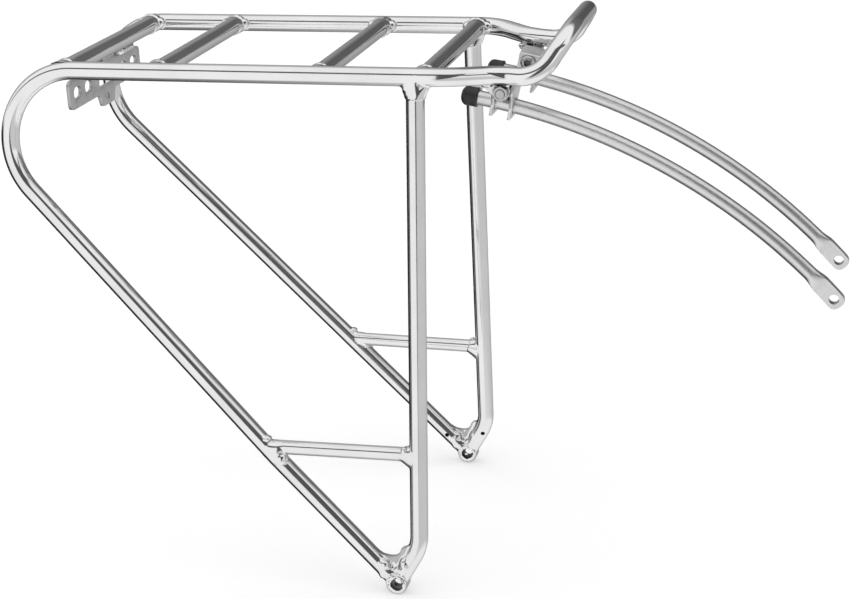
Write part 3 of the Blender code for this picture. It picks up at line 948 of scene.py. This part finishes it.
def side_path(side):
    """Corners of one side of the main tube, from the foot to the hoop's top."""
    top_x, top_y, top_z = HOOP_TOP_CORNER
    return [
        (0, side * FOOT_Y, 0),
        (KNEE[0], side * KNEE[1], KNEE[2]),
        (REAR_CORNER_X, side * RAIL_Y, RAIL_Z),
        (TAPER_START_X, side * RAIL_Y, RAIL_Z),
        (TAPER_END_X, side * FRONT_RAIL_Y, FRONT_RAIL_Z),
        (HOOP_FOOT[0], side * FRONT_RAIL_Y, HOOP_FOOT[1]),
        (top_x, side * top_y, top_z),
    ]


def main_path():
    radii = [KNEE_BEND_R, REAR_BEND_R, *HOOP_BENDS_R]
    return rounded_path(side_path(-1) + side_path(1)[::-1], radii + radii[::-1], 2.5)


def rear_leg_path(side):
    return rounded_path(side_path(side)[:3], [KNEE_BEND_R], 3)


def front_leg_path(side):
    kink = (FRONT_LEG_KINK[0], side * FRONT_LEG_KINK[1], FRONT_LEG_KINK[2])
    top = (FRONT_LEG_TOP_X, side * RAIL_Y, RAIL_Z)
    return rounded_path([top, kink, (0, side * FOOT_Y, 0)], [FRONT_LEG_BEND_R], 3)


def strut_path(side):
    rear = RAIL_Y + (KNEE[1] - RAIL_Y) * (RAIL_Z - STRUT_Z) / (RAIL_Z - KNEE[2])
    _, kink_y, kink_z = FRONT_LEG_KINK
    front = RAIL_Y + (kink_y - RAIL_Y) * (RAIL_Z - STRUT_Z) / (RAIL_Z - kink_z)
    rear_x, front_x = STRUT_ENDS_X
    return [(rear_x, side * rear, STRUT_Z), (front_x, side * front, STRUT_Z)]


def on_arc(degrees, side, rise=0.0):
    """A point at an angle of the stay's arc, raised along the arc's radius."""
    angle = math.radians(degrees)
    reach = ARC_R + rise
    x, z = ARC_CENTRE
    return Vector((x + reach * math.sin(angle), side * STAY_Y, z + reach * math.cos(angle)))


def clamp_axes(side):
    """The clamp's centre, and its directions inwards, upwards and along the stay."""
    angle = math.radians(CLAMP_DEG)
    inward = Vector((0, -side, 0))
    rise = Vector((math.sin(angle), 0, math.cos(angle)))
    return on_arc(CLAMP_DEG, side), inward, rise, inward.cross(rise)


def gusset_outline():
    outline = [(-0.9, 5.9), (4.5, 6.5), (8.0, 13.0), (11.5, 23.5), (8.6, 22.4)]
    return outline + GUSSET_TOP + [(-11.0, 17.8), (-16.5, 17.0), (-9.0, 9.0)]


def gusset_axes(side):
    return axes((0, side * (FOOT_Y - 0.4), 0), (1, 0, 0), (0, 0, 1))


# Operators --------------------------------------------------------------------


def add_frame_tube(scene, name, path, nodes, cutters=(), sharp=35.0, radius=None):
    """A polished round tube of the frame, with its holes cut."""
    tubes, finish = scene.rack_tubes, polished_bar(scene.rack_finishes)
    obj = bar(name, path, (radius or tubes.radius) / MM, tubes.facets, finish)
    if cutters:
        carve(obj, *cutters)
    place_piece(obj, nodes, sharp)


class RACK_OT_main_tube(bpy.types.Operator):
    """Bend the one long tube of the rear legs, the rails and the front hoop"""

    bl_idname = "rack.main_tube"
    bl_label = "Main Tube"

    def execute(self, context):
        cutters, nodes = [], ["front_hoop"]
        for word, side in SIDES:
            cutters += foot_cutters(context.scene, side, VENTS[0])
            nodes += [f"{word}_rail", f"{word}_rear_bend", f"{word}_rear_leg"]
        add_frame_tube(context.scene, "main_tube", main_path(), nodes, cutters, 50)
        return {"FINISHED"}


def foot_cutters(scene, side, vent):
    """The cutters of a leg's end: the room for the boss, and a vent hole on the inner side."""
    ends = [(0, side * (FOOT_Y + reach), 0) for reach in (12, -12)]
    x, z = vent
    mouth, floor = (x, side * (FOOT_Y - 12), z), (x, side * (FOOT_Y - 2.2), z)
    return [
        rod("boss_room", *ends, BOSS_R - 0.4, polished_bar(scene.rack_finishes)),
        # The vent's cut walls take the painted hole shade.
        rod("vent", mouth, floor, VENT_R, painted_hole_shade(), 24),
    ]


class RACK_OT_front_legs(bpy.types.Operator):
    """Add the two front legs from the rails down to the feet"""

    bl_idname = "rack.front_legs"
    bl_label = "Front Legs"

    def execute(self, context):
        for word, side in SIDES:
            name, cutters = f"{word}_front_leg", foot_cutters(context.scene, side, VENTS[1])
            path = front_leg_path(side)
            add_frame_tube(context.scene, f"{name}_tube", path, [name], cutters, 50)
        return {"FINISHED"}


class RACK_OT_crossbars(bpy.types.Operator):
    """Add the four crossbars between the rails"""

    bl_idname = "rack.crossbars"
    bl_label = "Crossbars"

    def execute(self, context):
        for name in CROSSBARS:
            x = cad_centre_mm(name).x
            ends = [(x, side * (RAIL_Y - 1), RAIL_Z) for _, side in SIDES]
            add_frame_tube(context.scene, f"{name}_tube", ends, [name])
        return {"FINISHED"}


class RACK_OT_side_struts(bpy.types.Operator):
    """Add the level strut between the legs on each side"""

    bl_idname = "rack.side_struts"
    bl_label = "Side Struts"

    def execute(self, context):
        radius = context.scene.rack_tubes.strut_radius
        for word, side in SIDES:
            name, path = f"{word}_side_strut", strut_path(side)
            add_frame_tube(context.scene, f"{name}_tube", path, [name], radius=radius)
        return {"FINISHED"}


class RACK_OT_feet(bpy.types.Operator):
    """Add the bored foot bosses and the gussets above them"""

    bl_idname = "rack.feet"
    bl_label = "Feet"

    def execute(self, context):
        finishes = context.scene.rack_finishes
        recess_r, recess = OUTER_RECESS
        bore_r, bore = INNER_RECESS
        inner, outer = -BOSS_HALF, BOSS_HALF
        floor, step = inner + bore, outer - recess
        profile = [(outer - 0.6, BOSS_R), (outer - 0.14, BOSS_R - 0.2), (outer, BOSS_R - 0.75)]
        profile += [(outer, recess_r + 0.3), (outer - 0.3, recess_r), (step, recess_r)]
        profile += [(step - 0.35, BOSS_HOLE_R), (floor + 0.3, BOSS_HOLE_R)]
        profile += [(floor, BOSS_HOLE_R + 0.3), (floor, bore_r - 0.5), (floor - 0.5, bore_r)]
        profile += [(inner + 0.3, bore_r), (inner, bore_r + 0.25), (inner, BOSS_R - 0.4)]
        profile += [(inner + 0.12, BOSS_R - 0.12), (inner + 0.4, BOSS_R)]
        face_finish, edge_finish = clamp_steel(finishes), sheet_steel(finishes)
        for word, side in SIDES:
            name, centre = f"{word}_foot_boss", Vector((0, side * FOOT_Y, 0))
            obj = lathe(f"{name}_ring", profile, centre, (0, side, 0), 72, face_finish, closed=True)
            obj.data.materials.append(painted_hole_shade())
            obj.data.materials.append(edge_finish)
            # Faces in the bore and recesses take the painted hole shade.
            for face in obj.data.polygons:
                middle = face.center / MM - centre
                hole_r = recess_r if middle.y * side > 0 else bore_r
                away = math.hypot(middle.x, middle.z)
                if away < hole_r + 0.05:
                    face.material_index = 1
                elif away > BOSS_R - 0.6:
                    face.material_index = 2
            place_piece(obj, [name])
            name, across = f"{word}_foot_gusset", gusset_axes(side)
            obj = plate(f"{name}_web", gusset_outline(), GUSSET_HALF, across, edge_finish)
            round_edges(obj, 0.5, 3)
            place_piece(obj, [name])
        return {"FINISHED"}


class RACK_OT_welds(bpy.types.Operator):
    """Blend every joint of the frame with its weld"""

    bl_idname = "rack.welds"
    bl_label = "Welds"

    def execute(self, context):
        for number, (word, side) in enumerate(SIDES):
            weld_side(context.scene, word, side, number)
        return {"FINISHED"}


def weld_side(scene, word, side, number):
    """All the welds on one side of the rack."""
    tubes, reaches = scene.rack_tubes, scene.rack_welds
    finish = polished_weld(scene.rack_finishes)
    radius, thin, pitch = tubes.radius / MM, tubes.strut_radius / MM, reaches.pitch / MM

    def add(kind, name, parts, joint, reach, beads, shift=0.0):
        low, high, bead_reach, unevenness, wavelength, start = WELD_KINDS[kind]
        look = (unevenness, wavelength, start + number + shift)
        fields = weld_fields(parts, beads, reach, bead_reach, *look)
        weld(f"{word}_{name}_weld", fields, room(joint, side, low, high), pitch, finish)

    rail = bar_field(rounded_path(side_path(side)[2:6], HOOP_BENDS_R), radius)
    for name in CROSSBARS:
        x = cad_centre_mm(name).x
        joint = (x, side * RAIL_Y, RAIL_Z)
        cross = bar_field([(x, 0, RAIL_Z), (x, side * (RAIL_Y - 2), RAIL_Z)], radius)
        ends = [(x, side * (RAIL_Y - inwards), RAIL_Z - 0.5) for inwards in (1.5, 11.5)]
        beads = [collar_field(*ends, (8.8, 3.9), (5.3, 5.35))]
        beads += bead_fields(joint, side, CROSSBAR_BEADS)
        add("crossbar", name, [rail, cross], joint, reaches.crossbar_reach / MM, beads, x)

    front_leg = bar_field(front_leg_path(side), radius)
    rear_leg = bar_field(rear_leg_path(side), radius)
    joint = (FRONT_LEG_TOP_X, side * RAIL_Y, RAIL_Z)
    top, below = (Vector(p) for p in front_leg_path(side)[:2])
    down = (below - top).normalized()
    collar = collar_field(top + down * 1.5, top + down * 11.2, (9.4, 3.9), (5.5, 5.45))
    parts = [rail, front_leg]
    add("front_leg", "front_leg", parts, joint, reaches.leg_reach / MM, [collar])

    strut = bar_field(strut_path(side), thin)
    rear_joint, front_joint = strut_path(side)
    x, y, z = front_joint
    collar = collar_field((x - 3.0, y, z - 1.5), (x - 9.5, y, z + 0.3), (7.6, 4.7), (4.3, 4.3))
    rear_beads = bead_fields(rear_joint, side, STRUT_REAR_BEADS)
    front_beads = [collar, *bead_fields(front_joint, side, STRUT_FRONT_BEADS)]
    for kind, leg, joint, beads in (
        ("strut_rear", rear_leg, rear_joint, rear_beads),
        ("strut_front", front_leg, front_joint, front_beads),
    ):
        add(kind, kind, [leg, strut], joint, reaches.strut_reach / MM, beads, joint[0])

    foot = (0, side * FOOT_Y, 0)
    hole = drum_field(foot, BOSS_R - 0.1, 30)
    gusset = plate_field(gusset_outline(), GUSSET_HALF, gusset_axes(side))
    parts = [without(rear_leg, hole), without(front_leg, hole), gusset]
    parts.append(drum_field(foot, BOSS_R, BOSS_HALF))
    beads = [plate_field(FOOT_WEB, 3.0, gusset_axes(side))]
    beads += bead_fields(foot, side, FOOT_BEADS) + bead_fields(foot, -side, FOOT_BEADS)
    beads = [without(bead, hole) for bead in beads]
    add("foot", "foot", parts, foot, reaches.foot_reach / MM, beads)

    x = cad_centre_mm("rear_crossbar").x
    cross = bar_field([(x, y, RAIL_Z) for y in (-60, 60)], radius)
    tab = [(side * y, z) for y, z in LIGHT_PLATE_TAB]
    sheet = plate_field(tab, PLATE_HALF, axes((PLATE_X, 0, 0), (0, 1, 0), (0, 0, 1)))
    joint = (PLATE_X, 0, PLATE_TOP_Z)
    parts, beads = [cross, sheet], bead_fields(joint, side, LIGHT_PLATE_BEADS)
    add("light_plate", "light_plate", parts, joint, LIGHT_PLATE_REACH, beads)

    x, y = cad_centre_mm(f"{word}_stay_lug").x, side * (LUG_Y + LUG_THICKNESS / 2)
    joint = (x, y, FRONT_RAIL_Z - radius)
    sheet = plate_field(LUG_TAB, LUG_THICKNESS / 2, axes(joint, (1, 0, 0), (0, 0, 1)))
    beads = bead_fields(joint, side, LUG_BEADS)
    add("lug", "lug", [rail, sheet], joint, LUG_REACH, beads)


class RACK_OT_light_plate(bpy.types.Operator):
    """Add the drilled plate for a rear light, hung under the rear crossbar"""

    bl_idname = "rack.light_plate"
    bl_label = "Light Plate"

    def execute(self, context):
        finish = sheet_steel(context.scene.rack_finishes)
        w, top, low = PLATE_HALF_WIDTH, PLATE_TOP_Z, PLATE_BOTTOM_Z
        up = top + TAB_RISE
        corners = [(-w, top - 2), (-30, top), (-30, up), (-14, up), (-14, top)]
        corners += [(14, top), (14, up), (30, up), (30, top), (w, top - 2), (w, low)]
        corners += [(11, low), (8, low - 7.6), (-8, low - 7.6), (-11, low), (-w, low)]
        radii = [3, 2, 1.2, 1.2, 2, 2, 1.2, 1.2, 2, 3, 4, 2.5, 3, 3, 2.5, 4]
        across = axes((PLATE_X, 0, 0), (0, 1, 0), (0, 0, 1))
        outline = rounded_outline(corners, radii)
        obj = plate("rear_light_plate_sheet", outline, PLATE_HALF, across, finish)
        openings = [rounded_box((0, WINDOW_Z), WINDOW_HALF, 1.5)]
        for y in [y * side for y in LIGHT_HOLES_Y for _, side in SIDES]:
            openings.append(rounded_box((y, LIGHT_SLOT_Z), LIGHT_SLOT_HALF, LIGHT_SLOT_BEND_R))
        cutters = [plate("opening", opening, 4, across, finish) for opening in openings]
        z = low - 2.6
        cutters.append(rod("hole", (PLATE_X - 4, 0, z), (PLATE_X + 4, 0, z), 1.8, finish))
        carve(obj, *cutters)
        round_edges(obj, 0.3)
        place_piece(obj, ["rear_light_plate"])
        return {"FINISHED"}


class RACK_OT_lugs(bpy.types.Operator):
    """Add the lug under each front rail that carries a clamp's bolt"""

    bl_idname = "rack.lugs"
    bl_label = "Lugs"

    def execute(self, context):
        finish = clamp_steel(context.scene.rack_finishes)
        for word, side in SIDES:
            centre, _, rise, _ = clamp_axes(side)
            bolt = centre + rise * BOLT_RISE
            top = FRONT_RAIL_Z - context.scene.rack_tubes.radius / MM - 0.4
            outline = [(bolt.x + 4.3, top), (bolt.x - 9.6, top), (bolt.x - 9.6, top - 0.8)]
            outline += arc((bolt.x, bolt.z), 4.3, -142, 0, 24)
            across = axes((0, side * (LUG_Y + LUG_THICKNESS / 2), 0), (1, 0, 0), (0, 0, 1))
            name = f"{word}_stay_lug"
            obj = plate(f"{name}_tab", outline, LUG_THICKNESS / 2, across, finish)
            ends = [(bolt.x, side * (LUG_Y + reach), bolt.z) for reach in (-4, 6)]
            carve(obj, rod("hole", *ends, BOLT_R + 0.3, finish))
            round_edges(obj, 0.3)
            place_piece(obj, [name])
        return {"FINISHED"}


def ear_corners():
    """One wall of the clamp across the stay: u towards the rack's middle, v up."""
    corners = [(8.3, 14.6), (-8.2, 15.2), (-14.0, 10.6), (-14.0, 8.6), (-9.6, 4.2)]
    corners += [(-6.9, -0.4), (-6.7, -2.6), (-7.0, -5.4), (-6.4, -6.8), (7.9, -7.2)]
    corners += [(8.8, -5.8), (7.3, -3.0), (7.1, 0.6), (8.3, 6.0)]
    radii = [1.2, 1.6, 0.6, 1.2, 2.0, 1.2, 1.2, 0.5, 0.5, 0.5, 0.5, 2.0, 1.2, 2.0]
    return rounded_outline(corners, radii)


class RACK_OT_clamps(bpy.types.Operator):
    """Fold the sheet clamp round each stay"""

    bl_idname = "rack.clamps"
    bl_label = "Stay Clamps"

    def execute(self, context):
        finish = clamp_steel(context.scene.rack_finishes)
        for word, side in SIDES:
            centre, inward, rise, along = clamp_axes(side)
            across = axes(centre, inward, rise)
            obj = plate(f"{word}_stay_clamp_fold", ear_corners(), CLAMP_HALF, across, finish)
            web, roof = 8.3 - SHEET, 15.2 - SHEET
            channel = [(web, roof - 0.6), (-8.0, roof), (-20, roof), (-20, -12)]
            channel += [(14, -12), (14, 5.4), (web, 5.4)]
            hollow = plate("channel", channel, CLAMP_HALF - SHEET, across, finish)
            reach = along * (CLAMP_HALF + 3)
            stay_radius = context.scene.rack_tubes.stay_radius / MM
            stay_hole = rod("hole", centre - reach, centre + reach, stay_radius + 0.3, finish)
            bolt = centre + rise * BOLT_RISE
            bolt_hole = rod("hole", bolt + inward * 4, bolt + inward * 14, BOLT_R + 0.3, finish)
            carve(obj, hollow, stay_hole, bolt_hole)
            round_edges(obj, 0.35)
            place_piece(obj, [f"{word}_stay_clamp"])
        return {"FINISHED"}


class RACK_OT_bolts(bpy.types.Operator):
    """Add the clamps' bolts and nuts"""

    bl_idname = "rack.bolts"
    bl_label = "Bolts and Nuts"

    def execute(self, context):
        sheet = context.scene.rack_finishes.sheet
        finish = material("fastener_steel_plated", fill_fastener, sheet)
        for word, side in SIDES:
            centre, inward, rise, _ = clamp_axes(side)
            line = centre + rise * BOLT_RISE
            face = BOLT_FACE
            far = STAY_Y - LUG_Y - LUG_THICKNESS - 3.9
            profile = [(far, BOLT_R - 0.4), (far + 0.4, BOLT_R), (face, BOLT_R), (face, 4.0)]
            profile += [(face + 0.2, 4.2), (face + 1.2, 4.15), (face + 1.9, 3.7)]
            profile += [(face + 2.4, 3.0), (face + 2.75, 2.2)]
            name = f"{word}_clamp_bolt"
            obj = lathe(f"{name}_shank", profile, line, inward, 40, finish)
            ends = [line + inward * (face + reach) for reach in (0.9, 5)]
            # The socket's walls take the painted hole shade.
            carve(obj, rod("socket", *ends, SOCKET_R, painted_hole_shade(), 6))
            place_piece(obj, [name])
            name = f"{word}_clamp_nut"
            base = (line.x, side * (LUG_Y + LUG_THICKNESS + 0.3), line.z)
            obj = hex_nut(f"{name}_hex", base, (0, side, 0), finish)
            place_piece(obj, [name], 25)
        return {"FINISHED"}


def hex_nut(name, origin, axis, finish):
    """A chamfered six-sided nut with a bored middle."""
    sides, sixth = 72, math.pi / 3
    flat_r = NUT_CORNER_R * math.cos(sixth / 2)
    origin, axis = Vector(origin), Vector(axis)
    side = Vector((1, 0, 0))
    other = axis.cross(side)
    rings = [(0.0, NUT_HOLE_R), (0.0, flat_r), (0.35, NUT_CORNER_R)]
    rings += [(NUT_HEIGHT - 0.35, NUT_CORNER_R), (NUT_HEIGHT, flat_r), (NUT_HEIGHT, NUT_HOLE_R)]
    places = []
    for level, cap in rings:
        for k, (c, s) in enumerate(circle(sides)):
            flat = flat_r / math.cos((math.tau * k / sides + sixth / 2) % sixth - sixth / 2)
            places.append(origin + axis * level + (side * c + other * s) * min(flat, cap))
    return ringed_solid(name, places, sides, finish, closed=True)


class RACK_OT_stays(bpy.types.Operator):
    """Bend the two front stays with their flattened ends"""

    bl_idname = "rack.stays"
    bl_label = "Front Stays"

    def execute(self, context):
        finish = material("satin_steel_bar", fill_satin, context.scene.rack_finishes.satin)
        radius = context.scene.rack_tubes.stay_radius / MM
        columns = circle(context.scene.rack_tubes.facets)
        angles = [*np.linspace(STAY_REAR_DEG, PADDLE_START_DEG, 41)[:-1]]
        angles += [*np.linspace(PADDLE_START_DEG, PADDLE_FLAT_DEG, 13)[:-1], PADDLE_FLAT_DEG, 47.4]
        turns = np.radians(np.linspace(10, 90, 9))
        angles += [TIP_START_DEG + (STAY_FRONT_DEG - TIP_START_DEG) * math.sin(t) for t in turns]
        for word, side in SIDES:
            places, grain = [], []
            for degrees in angles:
                half_width, half_thickness, flatness = stay_section(degrees, radius)
                centre = on_arc(degrees, side)
                outward = (on_arc(degrees, side, 1) - centre).normalized()
                for c, s in columns:
                    flat = max(-1, min(1, 1.9 * c))
                    boxed = s * max(abs(c), abs(s)) ** -0.75
                    u = (c + (flat - c) * flatness) * half_thickness
                    v = (s + (boxed - s) * flatness) * half_width
                    places.append(centre + Vector((0, u, 0)) + outward * v)
                    grain.append((math.radians(degrees) * ARC_R, u, v))
            obj = ringed_solid(f"{word}_stay_rod", places, len(columns), finish, grain)
            eye, reach = on_arc(EYE_DEG, side), Vector((0, 8, 0))
            carve(obj, rod("eye", eye - reach, eye + reach, EYE_R, finish))
            place_piece(obj, [f"{word}_stay"], 40)
        return {"FINISHED"}


def stay_section(degrees, radius):
    """The stay's half width, its half thickness, and how far it is flattened, 0 to 1."""
    share = min(max((degrees - PADDLE_START_DEG) / 1.7, 0), 1)
    share = share * share * (3 - 2 * share)
    tip = min(max((degrees - TIP_START_DEG) / (STAY_FRONT_DEG - TIP_START_DEG), 0), 0.985)
    half_width = radius + (PADDLE_HALF_WIDTH - radius) * share
    half_width *= (1 - tip**2.6) ** (1 / 2.6)
    half_thickness = radius + (PADDLE_HALF_THICKNESS - radius) * share - 0.35 * tip**8
    return half_width, half_thickness, min(1, share * 1.2)


class RACK_OT_end_caps(bpy.types.Operator):
    """Push the rubber caps over the stays' rear ends"""

    bl_idname = "rack.end_caps"
    bl_label = "End Caps"

    def execute(self, context):
        rubber = context.scene.rack_finishes.rubber
        finish = material("black_rubber_cap", fill_rubber, rubber)
        stay = context.scene.rack_tubes.stay_radius / MM
        mouth = CAP_LENGTH - 2.2
        profile = [(mouth - 1.2, stay + 0.02), (mouth - 0.15, stay + 0.15), (mouth, stay + 0.4)]
        profile += [(mouth, CAP_R - 0.35), (mouth - 0.12, CAP_R - 0.1), (mouth - 0.35, CAP_R)]
        profile += [(mouth - 1.3, CAP_R), (mouth - 1.5, CAP_R - 0.12)]
        profile += [(3.0, CAP_R - 0.12), (DOME_START, CAP_R - 0.1)]
        for turn in np.radians(range(8, 89, 8)):
            along, dome_r = DOME_START - DOME_HEIGHT * math.sin(turn), CAP_R - 0.1
            profile.append((along, dome_r * math.cos(turn) ** 0.8))
        angle = math.radians(STAY_REAR_DEG)
        forward = Vector((math.cos(angle), 0, -math.sin(angle)))
        for word, side in SIDES:
            name, end = f"{word}_end_cap", on_arc(STAY_REAR_DEG, side)
            obj = lathe(f"{name}_cup", profile, end, forward, 56, finish)
            place_piece(obj, [name], 50)
        return {"FINISHED"}


class RACK_OT_stage(bpy.types.Operator):
    """Add the floor, the studio light and the camera"""

    bl_idname = "rack.stage"
    bl_label = "Studio Stage"

    def execute(self, context):
        scene = context.scene
        floor_z = CAD_BOX[0][2] / MM - 0.2
        ring = [(FLOOR_R * c, FLOOR_R * s, floor_z) for c, s in circle(FLOOR_SIDES)]
        finish = material("floor", fill_floor, scene.rack_stage.floor)
        floor = add_piece("studio_floor", ring, [tuple(range(FLOOR_SIDES))], finish)
        floor.visible_glossy = floor.visible_shadow = False
        scene.view_settings.view_transform = "Standard"
        scene.world = scene.world or bpy.data.worlds.new("studio")
        scene.world.use_nodes = True
        fill_world(Graph(scene.world.node_tree))
        camera = bpy.data.objects.new("camera", bpy.data.cameras.new("camera"))
        camera.data.sensor_fit, camera.data.sensor_width = "HORIZONTAL", 36.0
        camera.data.lens = LENS
        camera.data.clip_start, camera.data.clip_end = 0.05, 50
        camera.location = CAMERA_PLACE
        camera.rotation_euler = [math.radians(turn) for turn in CAMERA_TURN_DEG]
        scene.collection.objects.link(camera)
        scene.camera = camera
        return {"FINISHED"}


def fill_floor(graph, colour):
    """Pale matt paper that glows a little, so that it stays nearly white."""
    mottle = graph.noise(graph.place(), 3.0, 2.0)
    graph.surface(
        Base_Color=graph.mix(mottle, grey(colour), grey(colour, 0.985)),
        Roughness=0.9,
        Specular_IOR_Level=0.0,
        Emission_Color=(1, 1, 1, 1),
        Emission_Strength=FLOOR_GLOW,
    )


def fill_world(graph):
    """A white tent with a seam overhead, a slot in front, a dim floor and a dark wall."""
    direction = graph.node("ShaderNodeTexCoord", {}, {}, "Generated")
    x, y, z = (graph.node("ShaderNodeSeparateXYZ", {}, {0: direction}, k) for k in range(3))
    front_tilt = z.turn(y * -1) * DEGREES
    back_tilt = z.turn(y) * DEGREES
    round_about = x.turn(y * -1) * DEGREES
    below = z.between(0.06, -0.06)
    light = x * 0 + LIT
    right_floor = below * x.between(0.02, 0.22) * y.between(0.95, 0.6)
    right_floor = right_floor * z.between(-0.62, -0.46)
    light = light.towards(RIGHT_FLOOR, right_floor)
    light = light.towards(BACK_FLOOR, below * y.between(0.5, 0.9))
    left_back = x.between(-0.1, -0.45) * y.between(-0.5, -0.15) * z.between(0.05, -0.1)
    light = light.towards(LEFT_BACK, left_back)
    wall = back_tilt.between(70, 50) * (1 - below) * y.between(0.05, 0.35)
    light = light.towards(LEFT_WALL, wall)
    light = light.towards(BACK_WALL, wall * x.between(-0.36, 0.1))
    seam = front_tilt.band(*SEAM_TILT, 3.0) * y.between(-0.05, -0.3)
    rise = (z + 0.2) * (1 / 0.7)
    off_slot = abs(round_about - (14 + rise * 22))
    slot = (off_slot - rise * 21).between(5.5, 2.5)
    slot = slot * z.between(-0.6, -0.45) * z.between(0.72, 0.6)
    light = light.towards(GAP, 1 - (1 - seam) * (1 - slot))
    shader = graph.node("ShaderNodeBackground", {}, {"Strength": light, "Color": (1, 1, 1, 1)})
    graph.node("ShaderNodeOutputWorld", {}, {"Surface": shader})


class RACK_PT_panel(bpy.types.Panel):
    """Lists the rack's pieces and settings"""

    bl_idname = "RACK_PT_panel"
    bl_label = "Rear Rack"
    bl_space_type = "VIEW_3D"
    bl_region_type = "UI"
    bl_category = "Rack"

    def draw(self, context):
        for group in GROUPS:
            settings = getattr(context.scene, group)
            for name in settings.__annotations__:
                self.layout.prop(settings, name)
        for operator in OPERATORS:
            self.layout.operator(operator.bl_idname)


GROUPS = {
    "rack_tubes": RackTubeSettings,
    "rack_welds": RackWeldSettings,
    "rack_finishes": RackFinishSettings,
    "rack_stage": RackStageSettings,
}
OPERATORS = (
    RACK_OT_main_tube,
    RACK_OT_front_legs,
    RACK_OT_crossbars,
    RACK_OT_side_struts,
    RACK_OT_feet,
    RACK_OT_welds,
    RACK_OT_light_plate,
    RACK_OT_lugs,
    RACK_OT_clamps,
    RACK_OT_bolts,
    RACK_OT_stays,
    RACK_OT_end_caps,
    RACK_OT_stage,
)


def register():
    for group, settings in GROUPS.items():
        bpy.utils.register_class(settings)
        setattr(bpy.types.Scene, group, bpy.props.PointerProperty(type=settings))
    for cls in (*OPERATORS, RACK_PT_panel):
        bpy.utils.register_class(cls)


def unregister():
    for cls in (RACK_PT_panel, *reversed(OPERATORS)):
        bpy.utils.unregister_class(cls)
    for group, settings in GROUPS.items():
        delattr(bpy.types.Scene, group)
        bpy.utils.unregister_class(settings)


def main():
    register()
    for operator in OPERATORS:
        family, name = operator.bl_idname.split(".")
        getattr(getattr(bpy.ops, family), name)()


if __name__ == "__main__":
    main()
